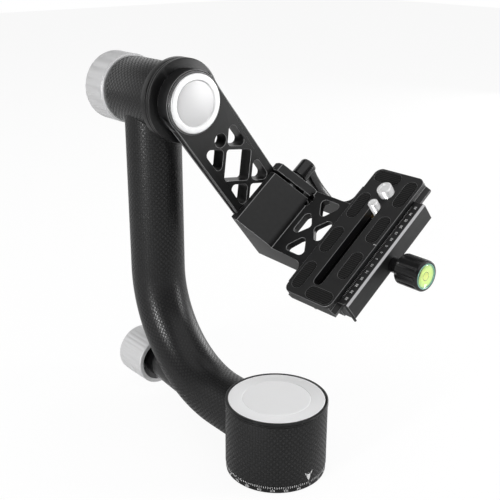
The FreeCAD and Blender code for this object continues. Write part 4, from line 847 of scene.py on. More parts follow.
def behind(centre_height: float) -> Matrix:
    """Place for turned work whose heights run from the pan axis towards minus X.

    Args:
        centre_height: Height of the work's axis in millimetres.

    Returns:
        The matrix.
    """
    lie = Matrix(((0, 0, -1, 0), (0, 1, 0, 0), (1, 0, 0, 0), (0, 0, 0, 1)))
    return Matrix.Translation((0, 0, centre_height * MM)) @ TO_ROW @ lie


# Geometry node recipes for what repeats


class Repeat:
    """A node tree that sets copies of a seed piece round a circle or along a line."""

    def __init__(self, name: str, round_axis: bool) -> None:
        """Build the tree.

        Args:
            name: Name of the tree.
            round_axis: True for copies round Z, False for copies along a step.
        """
        self.tree = bpy.data.node_groups.new(name, "GeometryNodeTree")
        face = self.tree.interface
        wanted = {"Seed": "Object", "Count": "Int", "Finish": "Material"}
        wanted |= {"Turn": "Float"} if round_axis else {"Step": "Vector"}
        self.sockets: dict[str, str] = {}
        for label, kind in wanted.items():
            socket = face.new_socket(label, in_out="INPUT", socket_type="NodeSocket" + kind)
            self.sockets[label] = socket.identifier
        face.new_socket("Geometry", in_out="OUTPUT", socket_type="NodeSocketGeometry")
        parts = TreeParts(self.tree)
        start = parts.node("NodeGroupInput").outputs
        offset = (0.0, 0.0, 0.0) if round_axis else start["Step"]
        line = parts.node("GeometryNodeMeshLine", {"Count": start["Count"], "Offset": offset})
        seed = parts.node("GeometryNodeObjectInfo", {"Object": start["Seed"]})
        place = parts.node("GeometryNodeInstanceOnPoints",
                           {"Points": line.outputs["Mesh"], "Instance": seed.outputs["Geometry"]})
        if round_axis:
            turn = parts.times(parts.node("GeometryNodeInputIndex").outputs[0], start["Turn"])
            parts.fill(place, {"Rotation": parts.node("ShaderNodeCombineXYZ", {2: turn}).outputs[0]})
        real = parts.node("GeometryNodeRealizeInstances", {0: place.outputs[0]})
        dress = parts.node("GeometryNodeSetMaterial",
                           {"Geometry": real.outputs[0], "Material": start["Finish"]})
        parts.node("NodeGroupOutput", {0: dress.outputs[0]})

    def run(self, seed: bpy.types.Mesh, count: int, finish: bpy.types.Material, matrix: Matrix,
            **values: object) -> bpy.types.Mesh:
        """Run the tree once.

        Args:
            seed: Mesh that is repeated, in millimetres.
            count: Number of copies.
            finish: Material of the copies.
            matrix: Place of the whole set in the row frame.
            values: Other inputs by name.

        Returns:
            A plain mesh in metres in the row frame.
        """
        item = linked("seed", seed)
        carrier = linked("carrier", bpy.data.meshes.new("carrier"))
        modifier = carrier.modifiers.new("repeat", "NODES")
        modifier.node_group = self.tree
        for label, value in {"Seed": item, "Count": count, "Finish": finish, **values}.items():
            modifier[self.sockets[label]] = value
        mesh = evaluated(carrier)
        bpy.data.objects.remove(carrier)
        bpy.data.objects.remove(item)
        mesh.transform(matrix)
        mesh.materials.clear()
        return mesh


@dataclass
class Workshop:
    """What every sub-assembly needs: finishes, repeat trees and the number of pieces made."""

    finishes: Palette
    rings: Repeat = field(default_factory=lambda: Repeat("RoundTheAxis", True))
    rows: Repeat = field(default_factory=lambda: Repeat("AlongTheStep", False))
    count: int = 0

    def set_out(self, piece: bpy.types.Object, body: str, slot: Slot, *nodes: str) -> None:
        """Make a finished piece ride and stand for its nodes.

        Args:
            piece: Finished piece.
            body: CAD body that carries it.
            slot: Material slot of the record; not used.
            nodes: CAD nodes that it stands for.
        """
        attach(piece, body)
        if nodes:
            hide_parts(*nodes)
        self.count += 1
        log.info("%s on %s, %d faces", piece.name, body, len(piece.data.polygons))

    def join(self, name: str, body: str, slot: Slot, finish: str, meshes: Sequence[bpy.types.Mesh],
             *nodes: str, angle: float = SHARP) -> None:
        """Join meshes in the row frame to one piece and set it out.

        Args:
            name: Name of the piece.
            body: CAD body that carries it.
            slot: Material slot of the record.
            finish: Name of its material.
            meshes: What it is made of.
            nodes: CAD nodes that it stands for.
            angle: Smallest angle of a sharp edge in degrees.
        """
        self.set_out(joined(name, meshes, self.finishes[finish], angle), body, slot, *nodes)

    def turn(self, name: str, body: str, slot: Slot, finish: str, profile: Profile, *nodes: str,
             **lathe: object) -> None:
        """Turn a profile to one piece and set it out.

        Args:
            name: Name of the piece.
            body: CAD body that carries it.
            slot: Material slot of the record.
            finish: Name of its material.
            profile: Radius and height of each corner.
            nodes: CAD nodes that it stands for.
            lathe: What turned_mesh takes besides the profile.
        """
        self.join(name, body, slot, finish, [turned_mesh(profile, **lathe)], *nodes)

    def refine(self, node: str, name: str, body: str, slot: Slot, bevel: float, finishes: Sequence[str],
               *larger: object) -> None:
        """Refine a CAD node to one piece and set it out.

        Args:
            node: CAD node that it stands for.
            name: Name of the piece.
            body: CAD body that carries it.
            slot: Material slot of the record.
            bevel: Rounding in millimetres.
            finishes: Names of its material and, where given, of the painted highlight on its cut edges.
            larger: Rule and radius of a larger rounding, as refined_copy takes them.
        """
        materials = [self.finishes[finish] for finish in finishes]
        self.set_out(refined_copy(node, name, bevel, materials, *larger), body, slot, node)

    def dress(self, finish: str, *nodes: str) -> None:
        """Give CAD nodes that stay in view a finish.

        Args:
            finish: Name of the material.
            nodes: Names of the nodes.
        """
        for node in nodes:
            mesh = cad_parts[node].data
            mesh.materials.clear()
            mesh.materials.append(self.finishes[finish])


# Sub-assemblies


@dataclass
class PanBase:
    """Fixed plate with its degree scale, spindle, bush, screws and bearings."""

    shop: Workshop
    radius: float = 29.7
    numbers: int = 24
    ticks: int = 144
    bush_bore: float = 3.97
    screw_circle: float = 14.5

    def build(self) -> None:
        """Build the plate with its softened rim, the threaded bush, the scale and the screws."""
        self.shop.refine("base_plate", "base_plate_body", "base", Slot.BLACK, 0.2, ["black_turned_pan"])
        ridges = [(self.bush_bore + (0.22 if step % 2 else 0.0), 0.4 + step * 0.5) for step in range(22)]
        profile = [(8.0, 11.6), (7.6, 12.0), (4.6, 12.0)] + ridges[::-1]
        profile += [(4.6, 0.0), (7.7, 0.0), (8.0, 0.3)]
        self.shop.turn("tripod_bush_body", "base", Slot.STEEL, "ground_steel", profile, "tripod_bush",
                       segments=72)
        self._scale()
        self._screws()
        self.shop.dress("ground_steel", "pan_spindle", "pan_lower_inner_race", "pan_upper_inner_race",
                        "pan_spindle_nut", "pan_lower_outer_race", "pan_upper_outer_race",
                        "pan_lower_rollers",
                        "pan_upper_rollers")
        self.shop.dress("silver_pan", "pan_spacer")

    def _scale(self) -> None:
        """White strokes and numbers engraved round the plate's edge."""
        white, reach = self.shop.finishes["white_marking"], self.radius
        meshes = []
        for count, half, low in ((self.ticks, 0.14, 2.95), (self.numbers, 0.16, 2.55)):
            stroke = block_mesh((reach - 0.03, -half, low), (reach + 0.02, half, 4.2))
            meshes.append(self.shop.rings.run(stroke, count, white, TO_ROW, Turn=FULL_TURN / count))
        for index in range(self.numbers):
            stand = (Matrix.Rotation(FULL_TURN * index / self.numbers, 4, "Z")
                     @ Matrix.Translation((reach, 0, 1.55)))
            upright = stand @ Matrix.Rotation(math.pi / 2, 4, "Z") @ Matrix.Rotation(math.pi / 2, 4, "X")
            meshes.append(lettering(str(index * 360 // self.numbers), 1.9, TO_ROW @ upright))
        self.shop.join("degree_scale", "base", Slot.BLACK, "white_marking", meshes)

    def _screws(self) -> None:
        """Four countersunk screws with a round socket."""
        profile = softened([(1.2, 1.1), (1.2, 0.0), (3.5, 0.0), (3.8, 0.3), (2.0, 1.8), (2.0, 7.0),
                            (0.0, 7.0)], 0.1, 2, closed=False)
        head = turned_mesh([(0.0, 1.1)] + profile, 36, closed=False, matrix=Matrix.Identity(4))
        head.transform(Matrix.Translation((self.screw_circle, 0, 0)))
        place = TO_ROW @ Matrix.Rotation(math.pi / 4, 4, "Z")
        ring = self.shop.rings.run(head, 4, self.shop.finishes["ground_steel"], place, Turn=math.pi / 2)
        self.shop.join("foot_screws", "base", Slot.STEEL, "ground_steel", [ring], "base_screws")


@dataclass
class PanShell:
    """Turning shell: carbon sleeve, black rim, silver cap and pointer."""

    shop: Workshop
    radius: float = 30.0
    outer: float = 30.3
    foot: float = 4.65
    rim: float = 42.95
    top: float = 45.25
    cap: float = 28.38
    pointer_turn: float = -2.3

    def build(self) -> None:
        """Build the shell's visible pieces."""
        rim, top, outer = self.rim, self.top, self.outer
        sleeve = softened([(28.8, self.foot), (self.radius, self.foot), (self.radius, rim - 0.25),
                           (28.8, rim - 0.25)], 0.15)
        self.shop.turn("pan_sleeve_cloth", "yoke", Slot.CARBON, "carbon_cloth", sleeve, "pan_sleeve",
                       segments=192)
        ring = softened([(17.5, rim - 6), (29.6, rim - 6), (29.6, rim - 0.1), (outer, rim + 0.1),
                         (outer, rim + 0.8), (29.9, rim + 1.0), (outer, rim + 1.2), (outer, top - 0.3),
                         (30.0, top), (28.4, top), (28.4, rim - 1), (17.5, rim - 1)], 0.12)
        self.shop.turn("pan_rim", "yoke", Slot.BLACK, "black_turned_pan", ring, segments=192)
        self.shop.dress("black_anodised", "pan_housing")
        groove = [(20.3, top), (20.05, top - 0.28), (19.8, top)]
        disc = softened([(0, rim), (self.cap, rim), (self.cap, top - 0.1), (self.cap - 0.5, top)] + groove
                        + [(0, top)], 0.08, 2, closed=False)
        self.shop.turn("pan_cap_disc", "yoke", Slot.SILVER, "silver_pan", disc, "pan_cap", segments=192,
                       closed=False)
        self._pointer()

    def _pointer(self) -> None:
        """White pointer painted on the sleeve above the scale."""
        outline = [(0.0, 4.9), (2.9, 11.0), (0.1, 9.2), (-2.8, 10.6)]
        rows = []
        for reach in (self.radius - 0.02, self.radius + 0.03):
            turns = [math.radians(self.pointer_turn) + across / self.radius for across, _ in outline]
            rows.append([(reach * math.cos(turn), reach * math.sin(turn), height)
                         for turn, (_, height) in zip(turns, outline)])
        self.shop.join("pan_pointer", "yoke", Slot.CARBON, "white_marking", [prism("pointer", *rows, TO_ROW)])


@dataclass
class BentTube:
    """The carbon tube that carries the tilt head beside the lens."""

    shop: Workshop
    radius: float = 17.6
    bend: float = 70.5
    across: float = -119.2
    top: float = 196.0
    foot: float = -25.0
    segments: int = 112

    def build(self) -> None:
        """Sweep the tube with its own cloth map."""
        path = list(self._path())
        work = bmesh.new()
        cloth = work.loops.layers.uv.new("cloth")
        turns = [FULL_TURN * step / self.segments for step in range(self.segments)]
        rings = [[work.verts.new(spot + side * math.cos(turn) * self.radius
                                 + Vector((0, math.sin(turn) * self.radius, 0))) for turn in turns]
                 for spot, side in path]
        lengths = [0.0]
        for (here, _), (after, _) in zip(path, path[1:]):
            lengths.append(lengths[-1] + (after - here).length)
        girth = FULL_TURN * self.radius
        quilt(work, rings, (False, True),
              lambda row, column: (girth * column / self.segments * MM, lengths[row] * MM), cloth)
        for ring in (rings[0], rings[-1]):
            work.faces.new(ring)
        work.transform(TO_ROW)
        bmesh.ops.recalc_face_normals(work, faces=work.faces)
        self.shop.join("bent_tube_cloth", "yoke", Slot.CARBON, "carbon_cloth", [mesh_of(work, "bent_tube")],
                       "j_tube")

    def _path(self) -> Iterator[tuple[Vector, Vector]]:
        """Points of the centre line with the direction that lies in the tube's plane.

        Yields:
            Pairs of a point and its outward side, in millimetres.
        """
        start = TUBE_HEIGHT + self.bend
        straight, arc = 12, 40
        for step in range(straight + 1):
            height = self.top + (start - self.top) * step / straight
            yield Vector((self.across, 0, height)), Vector((-1, 0, 0))
        centre = Vector((self.across + self.bend, 0, start))
        for step in range(1, arc + 1):
            turn = math.pi / 2 * step / arc
            side = Vector((-math.cos(turn), 0, -math.sin(turn)))
            yield centre + side * self.bend, side
        yield Vector((self.foot, 0, TUBE_HEIGHT)), Vector((0, 0, -1))


@dataclass
class PanLock:
    """Lock on the bend: boss, screw, shoe and hollow fluted knob."""

    shop: Workshop
    front: float = 120.5
    length: float = 27.0
    depth: float = 19.7
    radius: float = 16.8
    wall: float = 2.9
    flutes: int = 32

    def build(self) -> None:
        """Build the boss and knob."""
        place = behind(TUBE_HEIGHT)
        boss = softened([(3.1, 80), (13.0, 80), (10.2, 122.0), (9.9, 124.0), (8.5, 124.4), (8.2, 126.8),
                         (8.5, 127.1), (8.5, 129.6), (3.1, 130.0)], 0.3)
        self.shop.turn("lock_boss", "yoke", Slot.BLACK, "black_gloss", boss, "pan_lock_boss", segments=96,
                       matrix=place)
        front, back, floor = self.front, self.front + self.length, self.front + self.depth
        outer, inner = self.radius, self.radius - self.wall
        cup = softened([(inner, front), (outer - 0.6, front), (outer, front + 0.6), (outer, front + 2.6),
                        (outer, back - 3.4), (outer - 0.2, back - 1.4), (outer - 1.4, back), (9.0, back),
                        (8.7, back - 0.25), (8.4, back), (0, back), (0, back - 4), (3, back - 4),
                        (3, floor - 5), (6.5, floor - 5), (6.5, floor), (inner, floor)], 0.3, closed=False)
        grip = fluted(outer, self.flutes, 0.3, 0.8, front + 1.6, back - 1.8)
        self.shop.turn("lock_knob_cup", "pan_lock", Slot.SILVER, "silver_lock", cup + [(inner, front + 0.3)],
                       "pan_lock_knob", segments=480, grip=grip, matrix=place)
        self.shop.dress("ground_steel", "pan_lock_screw")
        self.shop.dress("nylon", "pan_brake_shoe")


@dataclass
class TiltHead:
    """Cross housing with sleeve, flanges and bearings."""

    shop: Workshop
    arm_back: float = 84.9

    def build(self) -> None:
        """Build the sleeve, the fixed flange and the turned flange behind the arm with its spindle."""
        place = {"matrix": behind(TILT_HEIGHT)}
        sleeve = softened([(19.7, 94.32), (20.9, 94.32), (20.9, 139.2), (19.7, 139.2)], 0.15)
        self.shop.turn("tilt_sleeve_cloth", "yoke", Slot.CARBON, "carbon_cloth", sleeve, "tilt_sleeve",
                       **place)
        fixed = softened([(12.5, 89.3), (24.7, 89.3), (25.3, 89.8), (25.3, 93.7), (24.7, 94.3),
                          (12.5, 94.3)], 0.2)
        self.shop.turn("fixed_flange", "yoke", Slot.BLACK, "black_turned", fixed, "tilt_flange", segments=192,
                       **place)
        self.shop.dress("black_anodised", "tilt_housing")
        self.shop.dress("ground_steel", "tilt_front_outer_race", "tilt_rear_outer_race", "tilt_front_rollers",
                        "tilt_rear_rollers", "tilt_front_inner_race", "tilt_rear_inner_race",
                        "tilt_spindle_nut")
        self.shop.dress("silver_face", "tilt_spacer")
        back = self.arm_back
        hub = softened([(0, back), (24.8, back), (25.3, back + 0.5), (25.3, back + 1.75), (24.8, back + 2.0),
                        (25.3, back + 2.25), (25.3, back + 3.5), (24.8, back + 4.0), (11.2, back + 4.0),
                        (11.2, 97.0), (9.0, 97.0), (9.0, 138.9), (5.0, 138.9), (5.0, 158.8), (0, 158.8)],
                       0.12, 2, closed=False)
        self.shop.turn("hub_flange", "arm", Slot.BLACK, "black_turned", hub, "tilt_spindle", segments=192,
                       closed=False, **place)


@dataclass
class TiltLock:
    """Large silver knob behind the tilt head with its washer and brake ring."""

    shop: Workshop
    face: float = 142.3
    length: float = 21.5
    radius: float = 22.1
    flutes: int = 18

    def build(self) -> None:
        """Build the knob."""
        face, back, outer = self.face, self.face + self.length, self.radius
        body = softened([(5.08, face + 1.5), (9.5, face + 1.5), (9.5, face + 11), (19.5, face + 11),
                         (19.5, face),
                         (21.1, face), (outer, face + 1.0), (outer, face + 3.2), (outer, back - 3.8),
                         (outer, back - 1.5), (20.6, back), (16.5, back), (16.2, back - 0.3), (15.9, back),
                         (0, back), (0, face + 16.6), (5.08, face + 16.6)], 0.35)
        grip = fluted(outer, self.flutes, 0.85, 0.9, face + 1.2, back - 1.6, 2.0)
        self.shop.turn("tilt_knob_body", "tilt_lock", Slot.SILVER, "silver_grip", body, "tilt_lock_knob",
                       segments=432, grip=grip, matrix=behind(TILT_HEIGHT))
        self.shop.dress("nylon", "tilt_brake_ring")
        self.shop.dress("bronze", "tilt_washer")


@dataclass
class SwingArm:
    """Lattice arm with its hub cap and bolts."""

    shop: Workshop
    front: float = 75.4
    cap: float = 1.75

    def build(self) -> None:
        """Build the arm and the cap."""
        self.shop.refine("swing_arm", "lattice_arm", "arm", Slot.BLACK, 0.25,
                         ["black_anodised", "black_edge"])
        front, face = self.front, self.front - self.cap
        place = behind(TILT_HEIGHT)
        rim = softened([(13.3, front), (17.6, front), (17.6, face + 0.35), (17.2, face), (14.0, face),
                        (13.3, face + 0.6)], 0.15)
        self.shop.turn("hub_cap_rim", "arm", Slot.SILVER, "silver_bright", rim, "arm_cap", matrix=place)
        dish = softened([(0, front), (13.28, front), (13.28, face + 0.55), (0, face + 0.55)], 0.08, 2,
                        closed=False)
        self.shop.turn("hub_cap_dish", "arm", Slot.SILVER, "silver_face", dish, closed=False, matrix=place)
        self.shop.dress("ground_steel", "hub_bolts")


@dataclass
class HeightBracket:
    """Clamp block on the arm with its trussed deck, and the height lock."""

    shop: Workshop
    reach: float = 31.0
    foot: float = 2.1
    hub_side: float = -66.0
    hub_down: float = -90.2

    def build(self) -> None:
        """Build the bracket and the lever."""
        self.shop.refine("platform_bracket", "height_block", "platform", Slot.BLACK, 0.3,
                         ["black_anodised", "black_edge"], self._slope_foot, self.foot)
        self._lever()
        self.shop.dress("ground_steel", "height_lock_screw")
        self.shop.dress("nylon", "height_washer")

    @staticmethod
    def _slope_foot(spot: Vector) -> bool:
        """Whether a corner lies on the edge where the slope turns down to the deck."""
        return abs(spot.x + 52.4) < 0.15 and abs(spot.z + 95.2) < 0.15

    def _lever(self) -> None:
        """Turned hub and a waisted blade that lies in line with the arm."""
        hub = softened([(3.02, 26.0), (5.0, 26.0), (5.6, 26.4), (5.6, 36.6), (5.0, 37.9), (3.2, 38.4),
                        (0, 38.5), (0, 37.1), (3.02, 37.1)], 0.4, closed=False)
        upright = Matrix.Rotation(-math.pi / 2, 4, "X")
        place = TO_ARM @ (Matrix.Translation((self.hub_side, 0, self.hub_down)) @ upright)
        outline = [(share * self.reach, half) for share, half in (
            (0.0, 5.3), (0.12, 4.9), (0.3, 3.9), (0.5, 3.6), (0.7, 4.1), (0.85, 4.9), (0.95, 5.2),
            (0.99, 4.4), (1.0, 2.6))]
        ring = outline + [(down, -half) for down, half in reversed(outline)]
        rows = [[(self.hub_side + across, high, self.hub_down - down) for down, across in ring]
                for high in (30.6, 36.8)]
        meshes = [turned_mesh(hub + [(3.02, 26.3)], 72, matrix=place),
                  prism("blade", *rows, TO_ARM, 1.3)]
        self.shop.join("height_lever_body", "height_lock", Slot.BLACK, "black_gloss", meshes, "height_lever")


@dataclass
class PlateClamp:
    """Moving jaw with its millimetre scale, pins and the knob with the spirit level."""

    shop: Workshop
    jaw_top: float = 100.7
    jaw_front: float = 24.3
    axis: float = 110.4
    knob: float = 16.6
    radius: float = 9.2
    flutes: int = 10
    vial: float = 6.85

    def build(self) -> None:
        """Build the jaw, its scale, a bright steel strip that paints the highlight on its top front edge, and
        the knob.
        """
        self.shop.refine("moving_jaw", "clamp_jaw_body", "clamp_jaw", Slot.BLACK, 0.2,
                         ["black_plate", "black_edge"])
        self.shop.dress("ground_steel", "guide_pins")
        self.shop.dress("black_gloss", "jaw_drop_pin")
        self._scale()
        # Thin bright steel strip along the jaw's top front edge: a painted highlight.
        section = ((23.30, -100.69), (24.31, -101.70), (24.0, -101.75), (23.3, -101.0))
        rows = [[(x, along, z) for x, z in section] for along in (-39.0, 39.0)]
        self.shop.join("jaw_bright_edge", "clamp_jaw", Slot.BLACK, "ground_steel",
                       [prism("edge", *rows, TO_ARM)])
        self._knob()

    def _scale(self) -> None:
        """Strokes each millimetre and numbers each five, on the jaw's top."""
        white = self.shop.finishes["white_marking"]
        level = -self.jaw_top
        fine = block_mesh((17.0, -35.05, level - 0.02), (17.9, -34.95, level + 0.02))
        meshes = [self.shop.rows.run(fine, 71, white, TO_ARM, Step=(0.0, 1.0, 0.0))]
        turn = Matrix.Rotation(math.pi / 2, 4, "Z")
        for index in range(-7, 8):
            spot = Matrix.Translation((20.4, index * 5.0, level))
            meshes.append(lettering(str(abs(index) * 5), 2.2, TO_ARM @ spot @ turn))
        self.shop.join("clamp_scale", "clamp_jaw", Slot.BLACK, "white_marking", meshes)

    def _knob(self) -> None:
        """Fluted black knob with its bezel, fluid, dome, ring mark and bubble."""
        lie = Matrix(((0, 0, 1, 0), (0, 1, 0, 0), (-1, 0, 0, -self.axis), (0, 0, 0, 1)))
        place = TO_ARM @ lie
        start = self.jaw_front + 8.0
        end, outer, vial = start + self.knob, self.radius, self.vial
        body = softened([(2.52, 24.6), (4.6, 24.6), (4.6, start), (8.4, start), (outer, start + 0.8),
                         (outer, start + 2.2), (outer, end - 3.2), (outer, end - 1.6), (outer, end - 0.8),
                         (8.4, end), (7.6, end), (7.6, end - 4), (2.52, end - 4)], 0.25)
        grip = fluted(outer, self.flutes, 0.95, 0.52, start + 1.0, end - 1.4, 1.0)
        bezel = softened([(6.9, end - 4), (7.55, end - 4), (7.55, end + 0.05), (7.3, end + 0.25),
                          (7.0, end + 0.1)],
                         0.1)
        fluid = softened([(0, end - 4), (vial, end - 4), (vial, end - 0.6), (0, end - 0.6)], 0.1, 2,
                         closed=False)
        dome = softened([(0, end - 0.55), (vial, end - 0.55), (vial, end - 0.1), (4.6, end + 0.12),
                         (0, end + 0.2)], 0.15, 3, closed=False)
        mark = softened([(2.35, end - 0.62), (2.6, end - 0.62), (2.6, end - 0.56), (2.35, end - 0.56)], 0.02)
        bubble = [(1.8 * math.cos(turn), end - 0.6 + 0.16 * math.sin(turn))
                  for turn in (math.pi / 2 - math.pi * step / 10 for step in range(11))]
        aside = Matrix.Translation((0, 0.0009, 0.0012)) @ place
        for name, slot, finish, profile, nodes, lathe in (
                ("clamp_knob_body", Slot.BLACK, "black_gloss", body, ["clamp_knob"],
                 {"segments": 288, "grip": grip}),
                ("level_ring", Slot.NYLON, "level_rim", bezel, ["level_bezel"], {"segments": 96}),
                ("level_fluid", Slot.FLUID, "level_fluid", fluid, ["level_vial"],
                 {"segments": 96, "closed": False}),
                ("level_dome", Slot.FLUID, "level_glass", dome, [], {"segments": 96, "closed": False}),
                ("level_circle", Slot.FLUID, "black_gloss", mark, [], {"segments": 72}),
                ("level_bubble", Slot.FLUID, "level_glass", bubble, [],
                 {"segments": 48, "closed": False, "matrix": aside})):
            self.shop.turn(name, "clamp_drive", slot, finish, profile, *nodes, **{"matrix": place} | lathe)
        self.shop.dress("ground_steel", "clamp_screw")


@dataclass
class LensPlate:
    """Dovetail plate with ribbed pads, index mark and two camera screws."""

    shop: Workshop
    centre: float = -1.5
    middle: float = 3.2
    top: float = 96.6
    seat: float = 101.8
    rib_pitch: float = 1.25
    rib_half: float = 0.28

    def build(self) -> None:
        """Build the plate, the pads and the screws."""
        self.shop.refine("quick_plate", "lens_plate_body", "lens_plate", Slot.BLACK, 0.2,
                         ["black_plate", "black_edge"])
        self._pads()
        mark = block_mesh((self.centre + 16.7, 0.95, -self.top - 0.02),
                          (self.centre + 18.8, 1.3, -self.top + 0.02))
        mark.transform(TO_ARM)
        self.shop.join("plate_index", "lens_plate", Slot.BLACK, "white_marking", [mark])
        self._screw("large_stud", 4.76, 6.1, 37.0, self.seat + 0.3, "large_screw", "three_eighth_screw")
        self._screw("small_stud", 3.175, 5.2, 25.0, self.seat + 0.84, "small_screw", "quarter_screw")
        self.shop.dress("bronze", "quarter_screw_clip")
        self.shop.dress("ground_steel", "plate_end_screws")

    def _pads(self) -> None:
        """Rounded rubber pads with fine raised ribs."""
        self.shop.refine("grip_pads", "grip_pads_base", "lens_plate", Slot.RUBBER, 0.12, ["pad_rubber"])
        meshes = []
        for side in (1, -1):
            for index in (-1, 0, 1):
                along = self.middle + side * (8 + index * 28)
                meshes += self._ribs(self.centre + side * 12.5, along, 4.0, 9.8)
            meshes += self._ribs(self.centre - side * 7.2, self.middle + side * 44.5, 9.8, 4.0)
        self.shop.join("pad_ribs", "lens_plate", Slot.RUBBER, "pad_ribs", meshes)

    def _ribs(self, x: float, y: float, half_x: float, half_y: float) -> list[bpy.types.Mesh]:
        """Ribs across one pad, cut to its rounded ends.

        Args:
            x: Middle of the pad.
            y: Middle of the pad.
            half_x: Half its width.
            half_y: Half its length.

        Returns:
            One mesh for each rib.
        """
        level = -self.top + 0.15
        meshes = []
        radius = min(half_x, half_y)
        count = int(half_y * 2 / self.rib_pitch)
        for index in range(count):
            place = -half_y + (index + 0.5) * (2 * half_y / count)
            over = max(0.0, abs(place) - (half_y - radius))
            reach = half_x - radius + math.sqrt(max(0.0, radius ** 2 - over ** 2)) - 0.25
            if reach < 0.6:
                continue
            rib = block_mesh((x - reach, y + place - self.rib_half, level - 0.1),
                             (x + reach, y + place + self.rib_half, level + 0.16), 0.07)
            rib.transform(TO_ARM)
            meshes.append(rib)
        return meshes

    def _screw(self, name: str, radius: float, head: float, along: float, seat: float, body: str,
               node: str) -> None:
        """A camera screw with thread ridges and a shallow recess in its tip.

        Args:
            name: Name of the piece.
            radius: Thread radius.
            head: Head radius.
            along: Place along the plate.
            seat: Distance of the head's seat down the arm.
            body: CAD body that carries it.
            node: CAD node that it stands for.
        """
        tip = -(self.top - 5.0)
        ridges = []
        level = tip - 0.7
        pitch = 1.27 if radius < 4 else 1.59
        root = radius - pitch * 0.42
        while level > -seat + pitch:
            ridges += [(radius, level), (radius, level - pitch * 0.12), (root, level - pitch * 0.5),
                       (root, level - pitch * 0.58)]
            level -= pitch
        profile = [(0.0, tip - 0.35), (radius * 0.45, tip - 0.3), (radius * 0.5, tip),
                   (radius - 0.75, tip - 0.02)]
        profile += ridges + [(radius - 0.3, -seat), (head - 0.3, -seat), (head, -seat - 0.3),
                             (head, -seat - 3.1), (head - 0.3, -seat - 3.4), (0.0, -seat - 3.4)]
        mesh = turned_mesh(profile, 64, False, matrix=TO_ARM @ Matrix.Translation((self.centre, along, 0)))
        self.shop.join(name, body, Slot.BRIGHT, "plated_steel", [mesh], node, angle=24.0)


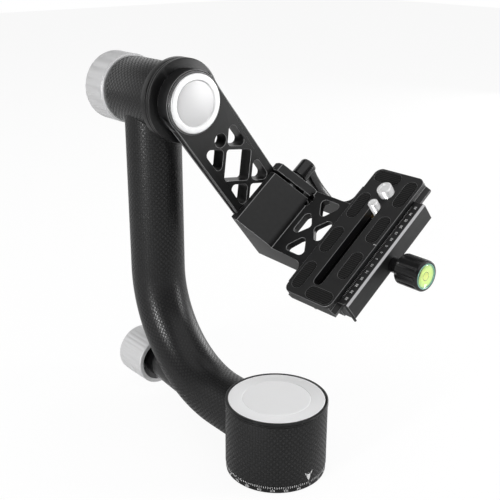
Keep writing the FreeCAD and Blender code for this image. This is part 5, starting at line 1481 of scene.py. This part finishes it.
@dataclass
class Studio:
    """Pale floor, soft lights and the camera at the photograph's angle."""

    azimuth: float = 49.957
    elevation: float = 20.0
    roll: float = 0.221
    distance: float = 0.498587
    target: Triple = (-0.024604, 0.0, 0.130034)
    lit: Triple = (-0.04, 0.0, 0.12)
    focal_pixels: float = 873.234
    photo_pixels: float = 500.0
    sensor: float = 36.0
    floor_level: float = -0.0004
    floor_glow: float = 1.04
    floor_seen: float = 0.88
    dim: float = 0.12
    sweep: float = 0.85

    def build(self) -> None:
        """Build the floor, the backdrop, the lights and the camera."""
        self._floor()
        self._world()
        self._lights()
        self._camera()

    @staticmethod
    def _end(parts: TreeParts, kind: str, share: bpy.types.NodeSocket, *shaders: bpy.types.Node) -> None:
        """End a tree with a mix of two shaders.

        Args:
            parts: Tree that is being wired.
            kind: Type of its output node.
            share: Share of the second shader.
            shaders: Both shader nodes.
        """
        first, second = (shader.outputs[0] for shader in shaders)
        mix = parts.node("ShaderNodeMixShader", {0: share, 1: first, 2: second})
        parts.node(kind, {0: mix.outputs[0]})

    def _floor(self) -> None:
        """A wide pale floor that reads as white to the camera."""
        work = bmesh.new()
        bmesh.ops.create_grid(work, x_segments=8, y_segments=8, size=3.0)
        floor = linked("floor", mesh_of(work, "floor"))
        floor.location.z = self.floor_level
        material = bpy.data.materials.new("floor_pale")
        parts = fresh_tree(material)
        plain = parts.node("ShaderNodeBsdfDiffuse", {"Color": (0.8, 0.8, 0.8, 1.0)})
        bright = parts.node("ShaderNodeEmission", {"Color": WHITE, "Strength": self.floor_glow})
        share = parts.times(parts.node("ShaderNodeLightPath").outputs["Is Camera Ray"], self.floor_seen)
        self._end(parts, "ShaderNodeOutputMaterial", share, plain, bright)
        floor.data.materials.append(material)

    def _world(self) -> None:
        """White backdrop for the camera, soft grey light for everything else."""
        world = bpy.data.worlds.new("studio")
        bpy.context.scene.world = world
        parts = fresh_tree(world)
        path = parts.node("ShaderNodeLightPath").outputs
        soft = parts.node("ShaderNodeBackground", {"Color": WHITE, "Strength": self._sweep(parts)})
        plain = parts.node("ShaderNodeBackground", {"Color": WHITE})
        seen = parts.math("MAXIMUM", path["Is Camera Ray"], path["Is Transmission Ray"])
        self._end(parts, "ShaderNodeOutputWorld", seen, soft, plain)

    def _sweep(self, parts: TreeParts) -> bpy.types.NodeSocket:
        """Strength of the world: a bright low sweep behind the head, dim elsewhere.

        Args:
            parts: Tree that is being wired.

        Returns:
            Socket with the strength.
        """
        towards = self._axes()[2]
        ray = parts.node("ShaderNodeNewGeometry").outputs["Incoming"]
        facing = parts.node("ShaderNodeVectorMath", {0: ray, 1: (towards.x, towards.y, 0.0)},
                            operation="DOT_PRODUCT")
        height = parts.math("ABSOLUTE", parts.node("ShaderNodeSeparateXYZ", {0: ray}).outputs[2])
        low = parts.remap(height, (1.0, 0.0), (0.42, 0.68), interpolation_type="SMOOTHSTEP")
        back = parts.remap(facing.outputs["Value"], (0.0, 1.0), (-0.1, 0.45), interpolation_type="SMOOTHSTEP")
        return parts.plus(self.dim, parts.times(parts.times(low, back), self.sweep))

    def _lights(self) -> None:
        """Soft boxes round the head: name, place from the head, width, height and power."""
        right, up, towards = self._axes()
        for name, offset, width, height, power in (
                ("key_left", -right * 0.72 - up * 0.14 + towards * 0.86, 0.14, 0.5, 7.5),
                ("side_left", -right * 1.2 + up * 0.3 - towards * 0.15, 0.9, 0.9, 0.8),
                ("fill_right", right * 1.2 + up * 0.1 + towards * 0.08, 0.2, 0.8, 6.5),
                ("top", Vector((0.3, 0.1, 1.1)), 2.0, 2.0, 12.0),
                ("rim_back", right * 0.8 + up * 0.5 - towards * 0.9, 0.7, 0.7, 5.0)):
            light = bpy.data.lights.new(name, "AREA")
            light.shape = "RECTANGLE"
            light.size, light.size_y, light.energy = width, height, power
            lamp = linked(name, light)
            lamp.location = Vector(self.lit) + offset
            lamp.rotation_euler = (-offset).to_track_quat("-Z", "Y").to_euler()

    def _axes(self) -> tuple[Vector, Vector, Vector]:
        """Right, up and towards directions of the camera, before the roll."""
        turn, lift = math.radians(self.azimuth), math.radians(self.elevation)
        towards = Vector((math.sin(turn) * math.cos(lift), -math.cos(turn) * math.cos(lift), math.sin(lift)))
        right = Vector((0, 0, 1)).cross(towards).normalized()
        return right, towards.cross(right), towards

    def _camera(self) -> None:
        """Camera fitted to the photograph."""
        right, up, towards = self._axes()
        place = Matrix((right, up, towards)).transposed().to_4x4()
        place = place @ Matrix.Rotation(math.radians(self.roll), 4, "Z")
        place.translation = Vector(self.target) + towards * self.distance
        lens = bpy.data.cameras.new("photo_view")
        lens.sensor_width = self.sensor
        lens.lens = self.focal_pixels * self.sensor / self.photo_pixels
        lens.clip_start, lens.clip_end = 0.01, 20.0
        camera = linked("photo_view", lens)
        camera.matrix_world = place
        bpy.context.scene.camera = camera


def main() -> None:
    logging.basicConfig(level=logging.INFO, format="%(name)s: %(message)s")
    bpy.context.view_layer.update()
    bpy.context.scene.view_settings.view_transform = "Standard"
    shop = Workshop(Palette())
    for part in (PanBase, PanShell, BentTube, PanLock, TiltHead, TiltLock, SwingArm, HeightBracket,
                 PlateClamp, LensPlate):
        part(shop).build()
    Studio().build()


if __name__ == "__main__":
    main()
